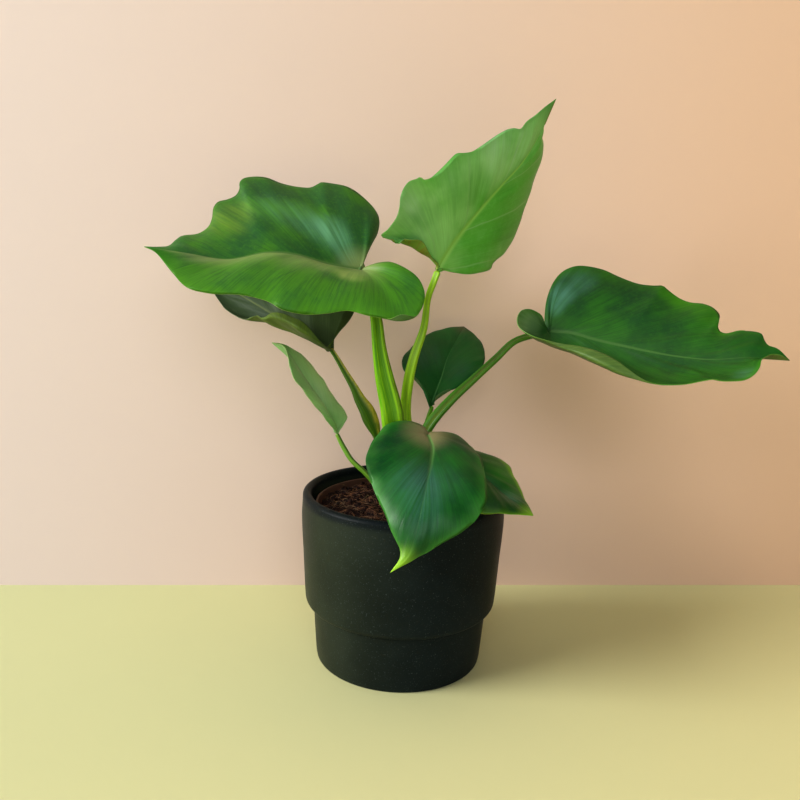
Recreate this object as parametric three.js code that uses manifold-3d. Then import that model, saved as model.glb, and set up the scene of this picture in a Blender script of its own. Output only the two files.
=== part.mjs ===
// A young philodendron in its plastic growing pot, set in a stepped ceramic cover pot.
// Units are millimetres, +Z is up. The origin is the middle of the cover pot's base,
// and -Y is the front, over whose rim the lowest large leaf hangs.

import * as THREE from 'three';
import Module from 'manifold-3d';

const wasm = await Module();
wasm.setup();

// ---------------------------------------------------------------- driving dimensions

const GAP = 0.35;                 // clearance between two pieces that touch on the plant

const POT = {
  height: 120,
  footRadius: 56.4,               // where it stands
  baseRadius: 58,                 // just above the foot's bevel
  neckRadius: 61,                 // top of the lower section
  stepHeight: 43.5,
  stepRadius: 65,                 // lower edge of the wider upper section
  shoulderRadius: 70,
  shoulderHeight: 105,
  rimRadius: 67,                  // crest of the rounded lip
  wall: 4.4,
  floor: 8,
  sides: 48,
};

const LINER = {                   // the thin growing pot inside
  height: 104,
  rimRadius: 60.6,
  baseRadius: 46,
  wall: 1.1,
  lipHeight: 5,
  drainHoles: 6,
  drainRadius: 4,
  sides: 36,
};

const SOIL = { top: 107.5, unevenness: 1.3, rings: 5, sides: 36 };

const BLADE = {
  thickness: 1.3,                 // beside the midrib
  marginThickness: 0.8,
  ribRise: 1.3,                   // how far the midrib stands out underneath
  columns: [0, 0.09, 0.33, 0.57, 0.8, 1],   // steps from the midrib to the margin
};

const FOOT_HEIGHT = 92;           // how deep the leaf stalks reach into the soil
const STALK_SIDES = 10;

// ---------------------------------------------------------------- colours

const LEAF_GREEN = 0x2f6b34;
const YOUNG_GREEN = 0x6da636;
const SHADE_GREEN = 0x1f4526;
const SATIN_GREEN = 0x6f9472;
const STALK_GREEN = 0x7da53c;

// ---------------------------------------------------------------- the leaves
//
// Each leaf is drawn by three curves: the midrib from the stalk to the tip, and the
// left and right margins from the notch behind the stalk, round the basal lobe, to the
// tip. Left and right are as seen on the upper face with the tip pointing away. The
// notch and the tip are added to both margins. `arch` is how far the middle of the left
// and the right half bulges to the upper face, `lobe` the share of the margin that
// belongs to the lobe, whose veins all fan out from the stalk.
// Each stalk runs from the soil to its blade: x, y, z, half width, half depth.
// Its groove faces `groove`.

const LEAVES = [
  {
    name: 'left_large', color: LEAF_GREEN, rows: 34, lobe: [0.34, 0.26], arch: [5, 4],
    notch: [-31, 1, 271],
    rib: [[-34, -2, 270], [-55, -8, 273], [-74, -12, 278], [-93, -15, 279], [-117, -20, 274],
      [-143, -24, 277]],
    tip: [-168, -27, 280],
    left: [[-24, -2, 274], [-16, -6, 276], [-6, -13, 273], [4, -21, 266], [8, -31, 256],
      [3, -44, 245], [-7, -48, 242], [-25, -50, 244], [-38, -49, 247], [-51, -52, 245],
      [-65, -54, 244], [-77, -54, 246], [-87, -50, 251], [-104, -50, 254], [-122, -50, 254],
      [-136, -47, 257], [-148, -39, 266], [-160, -31, 277]],
    right: [[-34, 8, 278], [-34, 13, 283], [-29, 18, 287], [-25, 24, 294], [-24, 30, 303],
      [-27, 35, 310], [-35, 41, 318], [-47, 44, 325], [-58, 45, 328], [-66, 44, 328],
      [-69, 42, 326], [-73, 41, 324], [-80, 40, 324], [-94, 39, 326], [-104, 38, 329],
      [-113, 38, 330], [-118, 34, 328], [-120, 32, 325], [-120, 29, 320], [-122, 27, 316],
      [-127, 24, 313], [-133, 22, 311], [-135, 19, 308], [-134, 12, 300], [-136, 6, 294],
      [-142, 1, 290], [-150, -4, 288], [-154, -7, 285], [-157, -11, 281], [-162, -18, 280]],
    stalk: [[-2, -5, FOOT_HEIGHT, 5.5, 3.8], [-3, -5, 129, 7, 4.2], [-6, -5, 150, 7.8, 4],
      [-9, -5, 169, 8, 3.9], [-11, -4, 180, 7.6, 3.8], [-16, -3, 199, 6.4, 3.5],
      [-20, -2, 218, 4.9, 3.3], [-23, -1, 239, 4, 3.1], [-27, -1, 254, 3.7, 3],
      [-32.6, -1, 268, 3.5, 3]],
    groove: [0.3, -0.95, 0],
  },
  {
    name: 'top_young', color: YOUNG_GREEN, rows: 34, lobe: [0.3, 0.22], arch: [4, 5],
    notch: [17, 0, 270],
    rib: [[17, 0, 273], [26, 2, 289], [35, 3, 302], [47, 5, 317], [58, 7, 330], [69, 9, 343],
      [78, 13, 358]],
    tip: [90, 20, 385],
    left: [[16, -3, 277], [10, -6, 281], [3, -9, 284], [-4, -12, 288], [-10, -16, 290],
      [-16, -19, 291], [-20, -22, 292], [-16, -24, 296], [-12, -26, 304], [-10, -26, 310],
      [-10, -27, 316], [-7, -26, 322], [-4, -26, 326], [0, -25, 327], [2, -24, 328], [4, -24, 327],
      [8, -22, 328], [12, -22, 331], [18, -19, 337], [22, -18, 342], [24, -17, 344],
      [30, -15, 345], [34, -13, 346], [39, -11, 349], [46, -8, 354], [52, -6, 359], [57, -3, 362],
      [61, -2, 362], [66, 0, 362], [70, 4, 368], [76, 8, 372], [82, 14, 378]],
    right: [[22, 4, 272], [28, 9, 270], [36, 14, 270], [43, 20, 270], [50, 24, 271], [54, 26, 274],
      [55, 28, 277], [58, 31, 280], [63, 34, 283], [66, 36, 288], [70, 38, 295], [72, 38, 300],
      [74, 38, 306], [76, 38, 313], [78, 38, 320], [80, 36, 328], [80, 36, 332], [82, 33, 338],
      [84, 30, 346], [85, 26, 353], [84, 24, 358], [83, 22, 361], [83, 21, 365], [82, 19, 370],
      [82, 18, 374], [85, 18, 379]],
    stalk: [[8, 5, FOOT_HEIGHT, 3.4, 3.4], [5, 5, 133, 3.8, 3.6], [2, 5, 155, 3.9, 3.7],
      [-1, 5, 176, 3.9, 3.7], [0, 4, 195, 3.9, 3.4], [3, 3, 212, 3.5, 3.1],
      [9, 2, 233, 2.6, 2.6], [11, 1, 253, 2.2, 2.3], [14, 0, 263, 2.3, 2.2],
      [16.2, 0, 269.5, 2.5, 2.2]],
    groove: [-0.6, -0.8, 0],
  },
  {
    name: 'right_large', color: LEAF_GREEN, rows: 34, lobe: [0.22, 0.3], arch: [3, -7],
    notch: [90, 1, 235],
    rib: [[93, 0, 234], [106, -6, 234], [121, -14, 231], [148, -28, 227], [166, -37, 225],
      [185, -46, 225], [205, -54, 228]],
    tip: [226, -60, 228],
    left: [[90, 4, 242], [92, 11, 252], [96, 20, 264], [103, 26, 272], [112, 28, 276],
      [121, 28, 277], [132, 24, 276], [142, 18, 271], [154, 12, 267], [163, 8, 266], [168, 6, 266],
      [170, 4, 264], [178, -1, 259], [184, -4, 257], [190, -8, 256], [195, -13, 254],
      [198, -17, 251], [196, -22, 247], [194, -26, 243], [196, -29, 240], [200, -32, 240],
      [204, -35, 242], [211, -38, 242], [215, -43, 242], [216, -46, 238], [216, -50, 236],
      [220, -55, 234]],
    right: [[86, -4, 244], [83, -6, 247], [77, -8, 249], [72, -12, 248], [68, -16, 244],
      [70, -22, 238], [75, -28, 234], [83, -32, 232], [95, -36, 227], [102, -40, 225],
      [116, -51, 220], [128, -58, 215], [140, -62, 212], [146, -64, 211], [154, -67, 212],
      [163, -70, 213], [172, -71, 216], [178, -73, 217], [181, -74, 216], [187, -75, 216],
      [194, -76, 218], [200, -74, 220], [205, -68, 225], [206, -66, 228], [210, -64, 230],
      [214, -62, 232], [220, -61, 231]],
    stalk: [[12, -5, FOOT_HEIGHT, 4.2, 3.2], [9, -6, 130, 4.6, 3.4], [9, -6, 152, 4.8, 3.4],
      [15, -6, 168, 4.9, 3.4], [28, -5, 185, 4.3, 3.2], [43, -3, 200, 3.4, 2.9],
      [58, -2, 215, 2.9, 2.7], [69, 0, 226, 2.6, 2.5], [78, 1, 230, 2.5, 2.4],
      [89.3, 1, 232.4, 2.5, 2.3]],
    groove: [-0.5, -0.4, 0.7],
  },
  {
    name: 'back_small', color: SHADE_GREEN, rows: 18, lobe: [0.34, 0.34], arch: [4, 4],
    notch: [17, 28, 172],
    rib: [[18, 32, 176], [25, 48, 193], [29, 62, 204], [36, 78, 216]],
    tip: [43, 96, 226],
    left: [[12, 30, 184], [7, 38, 192], [-3, 46, 197], [-4, 56, 205], [1, 66, 210],
      [11, 80, 218], [20, 88, 222], [32, 94, 225]],
    right: [[22, 33, 181], [30, 36, 186], [41, 40, 188], [52, 48, 196], [57, 60, 205],
      [57, 74, 213], [52, 86, 220]],
    stalk: [[1, 12, FOOT_HEIGHT, 2.8, 2.8], [2, 13, 120, 3, 2.8], [7, 17, 145, 2.7, 2.5],
      [14, 25, 163, 2.4, 2.2], [16.4, 29.3, 170.9, 2.3, 2.1]],
    groove: [0, 0.4, 0.9],
  },
  {
    name: 'left_lower', color: SHADE_GREEN, rows: 26, lobe: [0.26, 0.3], arch: [-5, 3],
    notch: [-52, 15, 214],
    rib: [[-56, 15, 215], [-77, 24, 225], [-101, 36, 237], [-127, 48, 249]],
    tip: [-155, 60, 260],
    left: [[-55, 7, 216], [-60, 2, 220], [-67, 0, 225], [-74, 2, 228], [-81, 5, 231],
      [-89, 10, 234], [-95, 14, 235], [-100, 18, 233], [-104, 21, 233], [-106, 23, 234],
      [-111, 27, 234], [-116, 30, 232], [-122, 34, 233], [-129, 39, 235], [-134, 43, 238],
      [-138, 46, 242], [-148, 55, 253]],
    right: [[-52, 21, 223], [-45, 26, 231], [-39, 34, 242], [-40, 44, 258], [-52, 53, 273],
      [-73, 60, 283], [-99, 65, 286], [-124, 66, 281], [-142, 64, 271]],
    stalk: [[-12, 7, FOOT_HEIGHT, 2.6, 2.6], [-14, 8, 134, 2.3, 2.4], [-18, 8, 146, 2.2, 2.3],
      [-20, 8, 156, 2.9, 2.5], [-22, 8, 162, 4.6, 3], [-25, 8, 168, 5.6, 3.2],
      [-28, 8, 174, 5.3, 3.1], [-32, 8, 181, 4.1, 2.9], [-37, 9, 189, 2.9, 2.4],
      [-44, 11, 201, 2.1, 2], [-50, 13, 209.5, 1.8, 1.8], [-52.9, 13.7, 212.6, 1.8, 1.8]],
    groove: [0.3, -0.9, 0.3],
  },
  {
    name: 'front_hanging', color: LEAF_GREEN, rows: 28, lobe: [0.26, 0.26], arch: [3.5, 3.5],
    notch: [14, -21, 167],
    rib: [[14, -25, 166], [17, -38, 161], [16, -52, 155], [14, -64, 149], [12, -75, 142],
      [9, -85, 132], [7, -91, 121], [2, -94, 109]],
    tip: [-7, -97, 100],
    left: [[22, -20, 167], [28, -20, 167], [34, -22, 165], [38, -26, 163], [42, -32, 160],
      [46, -40, 157], [48, -49, 153], [50, -61, 147], [50, -69, 142], [49, -75, 137],
      [46, -79, 133], [42, -83, 128], [37, -85, 125], [33, -87, 122], [28, -88, 119],
      [24, -89, 117], [19, -90, 114], [14, -91, 111], [9, -93, 109], [4, -94, 106],
      [-1, -96, 103]],
    right: [[12, -20, 170], [7, -18, 172], [1, -18, 173], [-4, -18, 173], [-10, -20, 172],
      [-15, -24, 170], [-18, -30, 166], [-22, -36, 162], [-24, -42, 158], [-25, -48, 154],
      [-24, -55, 151], [-22, -62, 146], [-18, -70, 140], [-14, -76, 135], [-10, -82, 129],
      [-8, -86, 122], [-4, -89, 117], [-2, -91, 112], [-1, -93, 109], [-3, -94, 106],
      [-5, -96, 103]],
    stalk: [[3, -15, FOOT_HEIGHT, 3, 3], [4, -16, 122, 3.2, 3], [8, -18, 145, 2.8, 2.6],
      [12, -22, 158, 2.5, 2.3], [13.2, -25.5, 162.7, 2.4, 2.2]],
    groove: [0, -0.8, 0.6],
  },
  {
    name: 'right_rim', color: SHADE_GREEN, rows: 18, lobe: [0.28, 0.28], arch: [3, 3],
    notch: [28, -11, 154],
    rib: [[31, -14, 154], [48, -28, 143], [65, -42, 132]],
    tip: [81, -56, 124],
    left: [[34, -3, 156], [44, 3, 153], [52, 4, 147], [57, 2, 147], [62, -1, 146], [67, -5, 145],
      [70, -10, 143], [72, -17, 139], [75, -27, 134], [78, -38, 130], [80, -46, 126]],
    right: [[27, -20, 149], [28, -36, 141], [36, -51, 133], [47, -60, 126], [60, -60, 126],
      [71, -58, 125]],
    stalk: [[14, -15, FOOT_HEIGHT, 2.6, 2.6], [15, -15, 120, 2.8, 2.6],
      [21, -14, 138, 2.4, 2.2], [29.2, -14, 150.3, 2.2, 2]],
    groove: [0.4, -0.4, 0.8],
  },
  {
    name: 'left_satin', color: SATIN_GREEN, rows: 20, lobe: [0.2, 0.2], arch: [3, 3],
    notch: [-47, 1, 157],
    rib: [[-48, 3, 160], [-58, 3, 178], [-70, 4, 194], [-81, 4, 209]],
    tip: [-93, 4, 219],
    left: [[-48, -1, 160], [-52, -7, 166], [-56, -13, 174], [-62, -18, 182], [-68, -22, 192],
      [-73, -24, 199], [-77, -21, 206], [-80, -14, 212], [-82, -7, 216], [-86, -2, 218]],
    right: [[-46, 3, 159], [-44, 7, 163], [-42, 12, 166], [-42, 14, 168], [-46, 20, 173],
      [-54, 24, 182], [-61, 26, 192], [-67, 24, 201], [-76, 19, 210], [-83, 11, 216],
      [-87, 7, 218]],
    stalk: [[-13, -7, FOOT_HEIGHT, 2.8, 2.8], [-14, -7, 114, 2.9, 2.8],
      [-18, -7, 124, 2.7, 2.6], [-26, -6, 133, 2.4, 2.3], [-36, -3, 141, 2.2, 2.1],
      [-42, 0, 149, 2.2, 2.1], [-46.5, 1.5, 156.5, 2.1, 2]],
    groove: [0.7, 0, 0.7],
  },
];

// The short stem that all the leaf stalks grow around.
const CROWN = {
  path: [[-3, 4, 88], [-3, 4, 105], [-4, 4, 128]],
  radii: [4.6, 4.4, 3.2],
};

// ---------------------------------------------------------------- geometry helpers

const vector = ([x, y, z]) => new THREE.Vector3(x, y, z);

const smoothCurve = (points) =>
  new THREE.CatmullRomCurve3(points.map(vector), false, 'centripetal');

/** A geometry from a vertex list and a triangle list, with faces turned outwards. */
function closedGeometry(vertices, triangles) {
  let volume = 0;
  for (const [a, b, c] of triangles) {
    volume += vertices[a].dot(vertices[b].clone().cross(vertices[c]));
  }
  const outward = volume > 0 ? triangles : triangles.map(([a, b, c]) => [a, c, b]);
  const geometry = new THREE.BufferGeometry();
  geometry.setFromPoints(vertices);
  geometry.setIndex(outward.flat());
  geometry.computeVertexNormals();
  return geometry;
}

/** A solid for cutting and joining, from a geometry whose vertices are shared. */
function toSolid(geometry) {
  const { vertices, triangles } = welded(geometry);
  const mesh = new wasm.Mesh({
    numProp: 3,
    vertProperties: new Float32Array(vertices.flatMap((v) => v.toArray())),
    triVerts: new Uint32Array(triangles.flat()),
  });
  return new wasm.Manifold(mesh);
}

function toGeometry(solid) {
  const mesh = solid.getMesh();
  const geometry = new THREE.BufferGeometry();
  geometry.setAttribute('position', new THREE.BufferAttribute(mesh.vertProperties, 3));
  geometry.setIndex(new THREE.BufferAttribute(mesh.triVerts, 1));
  geometry.computeVertexNormals();
  return geometry;
}

/** The vertices of a geometry, each kept once, and its triangles without empty ones. */
function welded(geometry) {
  const position = geometry.getAttribute('position');
  const count = geometry.index ? geometry.index.count : position.count;
  const vertices = [];
  const seen = new Map();
  const corner = (i) => {
    const v = new THREE.Vector3().fromBufferAttribute(position, i);
    const key = v.toArray().map((n) => Math.round(n * 1e4)).join();
    if (!seen.has(key)) {
      seen.set(key, vertices.length);
      vertices.push(v);
    }
    return seen.get(key);
  };
  const triangles = [];
  for (let i = 0; i < count; i += 3) {
    const face = [0, 1, 2].map((k) => corner(geometry.index ? geometry.index.getX(i + k) : i + k));
    if (new Set(face).size === 3) triangles.push(face);
  }
  return { vertices, triangles };
}

/** A lathe turned from a closed profile of [radius, height] points, standing on +Z. */
function turned(profile, sides) {
  const points = profile.map(([r, z]) => new THREE.Vector2(r, z));
  const geometry = new THREE.LatheGeometry(points, sides);
  geometry.rotateX(Math.PI / 2);
  const { vertices, triangles } = welded(geometry);
  return closedGeometry(vertices, triangles);
}

// ---------------------------------------------------------------- leaf blade

/** The middle surface of a blade: vertices, triangles, and each vertex's column share. */
function bladeSurface(leaf) {
  const rib = smoothCurve([...leaf.rib, leaf.tip]);
  const halves = [leaf.left, leaf.right].map((m) => smoothCurve([leaf.notch, ...m, leaf.tip]));
  const length = vector(leaf.tip).sub(vector(leaf.rib[0]));
  const middle = 0.45;
  const across = halves[1].getPointAt(middle).sub(halves[0].getPointAt(middle));
  const upper = across.cross(length).normalize();

  const vertices = [];
  const columnOf = [];
  const seen = new Map();
  const add = (point, column) => {
    const key = point.toArray().map((n) => Math.round(n * 1e3)).join();
    if (!seen.has(key)) {
      seen.set(key, vertices.length);
      vertices.push(point);
      columnOf.push(column);
    }
    return seen.get(key);
  };

  const triangles = [];
  halves.forEach((margin, side) => {
    const grid = [];
    for (let row = 0; row <= leaf.rows; row += 1) {
      const s = row / leaf.rows;
      const inner = rib.getPointAt(ribShare(row, leaf.rows));
      const outer = margin.getPointAt(marginShare(s, leaf.lobe[side]));
      const control = inner.clone().lerp(outer, 0.5);
      control.addScaledVector(upper, 2 * leaf.arch[side] * Math.sin(Math.PI * s ** 0.8));
      const vein = new THREE.QuadraticBezierCurve3(inner, control, outer);
      grid.push(BLADE.columns.map((t) => add(vein.getPoint(t), t)));
    }
    for (let row = 0; row < leaf.rows; row += 1) {
      for (let col = 0; col < BLADE.columns.length - 1; col += 1) {
        const [a, b] = [grid[row][col], grid[row][col + 1]];
        const [d, c] = [grid[row + 1][col], grid[row + 1][col + 1]];
        const faces = [[a, b, c], [a, c, d]].filter((f) => new Set(f).size === 3);
        triangles.push(...faces.map(([p, q, r]) => (side === 0 ? [p, r, q] : [p, q, r])));
      }
    }
  });
  return { vertices, triangles, columnOf };
}

const LOBE_ROWS = 0.3;            // share of the rows whose veins start at the stalk

/** How far along the midrib the vein of a row starts. */
function ribShare(row, rows) {
  return Math.max(0, (row / rows - LOBE_ROWS) / (1 - LOBE_ROWS));
}

/** How far along the margin the vein of a row ends: the lobe's rows cover the lobe. */
function marginShare(s, lobe) {
  if (s < LOBE_ROWS) return (s / LOBE_ROWS) * lobe;
  return lobe + ((s - LOBE_ROWS) / (1 - LOBE_ROWS)) * (1 - lobe);
}

/** A closed blade, thickest along its midrib. */
function bladeGeometry(leaf) {
  const { vertices, triangles, columnOf } = bladeSurface(leaf);
  const normals = vertices.map(() => new THREE.Vector3());
  for (const [a, b, c] of triangles) {
    const ab = vertices[b].clone().sub(vertices[a]);
    const face = ab.cross(vertices[c].clone().sub(vertices[a]));
    for (const i of [a, b, c]) normals[i].add(face);
  }
  normals.forEach((n) => n.normalize());

  const count = vertices.length;
  const top = vertices.map((v, i) => v.clone().addScaledVector(normals[i], halfThickness(columnOf[i])));
  const bottom = vertices.map((v, i) => {
    const rib = BLADE.ribRise * Math.max(0, 1 - columnOf[i] / BLADE.columns[1]);
    return v.clone().addScaledVector(normals[i], -halfThickness(columnOf[i]) - rib);
  });
  const faces = [...triangles, ...triangles.map(([a, b, c]) => [a + count, c + count, b + count])];

  const edges = new Set(triangles.flatMap(([a, b, c]) => [`${a},${b}`, `${b},${c}`, `${c},${a}`]));
  for (const edge of edges) {
    const [a, b] = edge.split(',').map(Number);
    if (!edges.has(`${b},${a}`)) {
      faces.push([b, a, a + count], [b, a + count, b + count]);
    }
  }
  return closedGeometry([...top, ...bottom], faces);
}

function halfThickness(column) {
  return THREE.MathUtils.lerp(BLADE.thickness, BLADE.marginThickness, column) / 2;
}

// ---------------------------------------------------------------- leaf stalk

/** A tapering stalk with a groove along one side, closed at both ends. */
function stalkGeometry(stations, groove, swell = 0, steps = 2 * (stations.length - 1)) {
  const path = smoothCurve(stations);
  const sizes = smoothCurve(stations.map(([, , , w, d]) => [w, d, 0]));
  const vertices = [];
  const triangles = [];
  for (let step = 0; step <= steps; step += 1) {
    const u = step / steps;
    const centre = path.getPoint(u);
    const tangent = path.getTangent(u);
    if (step === 0) centre.addScaledVector(tangent, -swell);
    if (step === steps) centre.addScaledVector(tangent, swell);
    const across = new THREE.Vector3().crossVectors(tangent, vector(groove)).normalize();
    const open = new THREE.Vector3().crossVectors(across, tangent);
    const { x: halfWidth, y: halfDepth } = sizes.getPoint(u);
    for (let side = 0; side < STALK_SIDES; side += 1) {
      const angle = (side / STALK_SIDES) * 2 * Math.PI;
      const depth = Math.sin(angle) > 0.01 ? grooved(Math.sin(angle)) : Math.sin(angle);
      vertices.push(centre.clone()
        .addScaledVector(across, (halfWidth + swell) * Math.cos(angle))
        .addScaledVector(open, halfDepth * depth + swell * Math.sin(angle)));
    }
  }
  const ring = (step, side) => step * STALK_SIDES + (side % STALK_SIDES);
  for (let step = 0; step < steps; step += 1) {
    for (let side = 0; side < STALK_SIDES; side += 1) {
      const [a, b] = [ring(step, side), ring(step, side + 1)];
      const [d, c] = [ring(step + 1, side), ring(step + 1, side + 1)];
      triangles.push([a, b, c], [a, c, d]);
    }
  }
  for (let side = 1; side < STALK_SIDES - 1; side += 1) {
    triangles.push([ring(0, 0), ring(0, side + 1), ring(0, side)]);
    triangles.push([ring(steps, 0), ring(steps, side), ring(steps, side + 1)]);
  }
  return closedGeometry(vertices, triangles);
}

/** The groove presses the open side of the round section nearly flat. */
function grooved(height) {
  return 0.75 * height - 0.35 * height ** 4;
}

/** The largest connected body of a solid. */
function largestBody(solid) {
  return solid.decompose().reduce((a, b) => (a.volume() > b.volume() ? a : b));
}

// ---------------------------------------------------------------- pots and soil

function coverPotGeometry() {
  const { height, footRadius, baseRadius, neckRadius, stepHeight, stepRadius } = POT;
  const { shoulderRadius, shoulderHeight, rimRadius, wall, floor } = POT;
  const lip = wall / 2;
  const profile = [
    [0, 0], [footRadius, 0], [baseRadius, 2.4], [neckRadius - 0.4, stepHeight - 5],
    [neckRadius + 0.2, stepHeight - 3.4], [stepRadius - 1.8, stepHeight - 2.6],
    [stepRadius + 0.2, stepHeight - 1], [stepRadius + 1.5, stepHeight + 1.8],
    [stepRadius + 2, stepHeight + 6], [stepRadius + 3, 68],
    [shoulderRadius - 0.5, 90], [shoulderRadius, shoulderHeight],
    [rimRadius + 2.3, height - 3.4], [rimRadius + 1.4, height - 1.2], [rimRadius, height],
    [rimRadius - 1.5, height - 0.7], [rimRadius - lip, height - 3],
    [shoulderRadius - wall - 1, shoulderHeight], [stepRadius - wall + 1, stepHeight + 5],
    [neckRadius - wall - 0.6, stepHeight - 2], [baseRadius - wall - 0.6, floor + 3],
    [baseRadius - wall - 4, floor], [0, floor],
  ];
  return turned(profile, POT.sides);
}

const LINER_BASE = POT.floor + GAP;
const LINER_TOP = LINER_BASE + LINER.height;

function linerGeometry() {
  const { rimRadius, baseRadius, wall, lipHeight, drainHoles, drainRadius } = LINER;
  const neck = rimRadius - 1.6;
  const profile = [
    [0, LINER_BASE], [baseRadius - 1.5, LINER_BASE], [baseRadius, LINER_BASE + 2],
    [neck, LINER_TOP - lipHeight], [rimRadius, LINER_TOP - lipHeight + 0.6],
    [rimRadius, LINER_TOP], [rimRadius - wall, LINER_TOP],
    [neck - wall, LINER_TOP - lipHeight - 0.5], [baseRadius - wall, LINER_BASE + 3],
    [baseRadius - 3, LINER_BASE + wall], [0, LINER_BASE + wall],
  ];
  let solid = toSolid(turned(profile, LINER.sides));
  for (let hole = 0; hole < drainHoles; hole += 1) {
    const angle = (hole / drainHoles) * 2 * Math.PI;
    const drill = new THREE.CylinderGeometry(drainRadius, drainRadius, 4 * wall, 10);
    drill.rotateX(Math.PI / 2);
    drill.translate(0.62 * baseRadius * Math.cos(angle), 0.62 * baseRadius * Math.sin(angle), LINER_BASE);
    solid = solid.subtract(toSolid(drill));
  }
  return toGeometry(solid);
}

/** Loose potting soil: it fills the liner, and its top is uneven. */
function soilGeometry(standing) {
  const { rimRadius, baseRadius, wall, lipHeight } = LINER;
  const bottom = LINER_BASE + wall + GAP;
  const neckHeight = LINER_TOP - lipHeight - 0.5;
  const baseOuter = baseRadius - wall - 2 * GAP;
  const topOuter = rimRadius - 1.6 - wall - GAP - 0.2;
  const profile = [[0, bottom], [baseOuter - 3, bottom], [baseOuter, bottom + 3], [topOuter, neckHeight - 1]];
  for (let ring = SOIL.rings; ring >= 0; ring -= 1) {
    profile.push([(topOuter - 0.4) * (ring / SOIL.rings), SOIL.top]);
  }
  const { vertices, triangles } = welded(turned(profile, SOIL.sides));
  for (const v of vertices) {
    if (v.z > SOIL.top - 0.1) {
      const crumbs = Math.sin(0.31 * v.x + 1) * Math.cos(0.27 * v.y) + Math.sin(0.19 * (v.x - 1.7 * v.y));
      v.z += SOIL.unevenness * crumbs - 0.001 * (v.x * v.x + v.y * v.y);
    }
  }
  let solid = toSolid(closedGeometry(vertices, triangles));
  for (const geometry of standing) solid = solid.subtract(toSolid(geometry));
  return toGeometry(largestBody(solid));
}

// ---------------------------------------------------------------- assembly

const plant = new THREE.Group();

function addPiece(name, geometry, color, roughness) {
  const material = new THREE.MeshStandardMaterial({ color, roughness, metalness: 0 });
  const piece = new THREE.Mesh(geometry, material);
  piece.name = name;
  plant.add(piece);
}

addPiece('cover_pot', coverPotGeometry(), 0x191c1b, 0.55);
addPiece('growing_pot', linerGeometry(), 0x6b3a28, 0.6);

const crownStations = CROWN.path.map((point, i) => [...point, CROWN.radii[i], CROWN.radii[i]]);
const CROWN_GROOVE = [0, -1, 0];
const sockets = [stalkGeometry(crownStations, CROWN_GROOVE, GAP)];
sockets.push(...LEAVES.map((leaf) => stalkGeometry(leaf.stalk, leaf.groove, GAP)));
addPiece('soil', soilGeometry(sockets), 0x4a2e1c, 1);
addPiece('crown', stalkGeometry(crownStations, CROWN_GROOVE), 0x6a5a30, 0.8);

for (const leaf of LEAVES) {
  addPiece(`stalk_${leaf.name}`, stalkGeometry(leaf.stalk, leaf.groove), STALK_GREEN, 0.45);
  addPiece(`leaf_${leaf.name}`, bladeGeometry(leaf), leaf.color, 0.4);
}

export default plant;
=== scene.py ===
"""A young philodendron in a brown growing pot, set in a stepped matt black cover pot.

Lengths of the plant are written in millimetres, as the drawn curves of each leaf are,
and turned into metres where a mesh is made. Colours are linear RGB.
"""
import math
import random

import bmesh
import bpy
import numpy as np
from mathutils import Matrix, Vector, noise


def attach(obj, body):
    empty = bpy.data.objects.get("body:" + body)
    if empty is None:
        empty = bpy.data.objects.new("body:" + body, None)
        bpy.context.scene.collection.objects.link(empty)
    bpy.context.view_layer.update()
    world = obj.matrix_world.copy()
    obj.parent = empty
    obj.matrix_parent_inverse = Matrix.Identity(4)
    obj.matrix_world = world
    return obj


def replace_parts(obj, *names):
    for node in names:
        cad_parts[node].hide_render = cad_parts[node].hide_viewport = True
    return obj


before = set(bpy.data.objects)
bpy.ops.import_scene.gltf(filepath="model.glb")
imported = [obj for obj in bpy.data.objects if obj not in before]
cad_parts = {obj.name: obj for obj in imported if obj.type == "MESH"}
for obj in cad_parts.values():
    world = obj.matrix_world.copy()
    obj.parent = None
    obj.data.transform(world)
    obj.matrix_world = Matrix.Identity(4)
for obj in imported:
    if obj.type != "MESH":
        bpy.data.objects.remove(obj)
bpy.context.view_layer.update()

MM = 0.001
ROOT = "root"

# ------------------------------------------------------------------ the leaves
#
# The midrib runs from the stalk to the tip; the left and right margins run from the
# notch behind the stalk, round the basal lobe, to the tip, as seen on the upper face
# with the tip pointing away. `sweep` bends the side veins towards the tip, and `pleat` is
# how far the blade swells between them. `lobe` is the share of each margin whose veins
# fan out from the stalk, `arch` how far the middle of each half bulges to the upper face.
# `rolls` are the rolled edges: side, start, widest and end along the rows, width, turn in
# degrees. `drawn_in` pulls the middle of a half, beside its lobe, along x, y, z.

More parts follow.
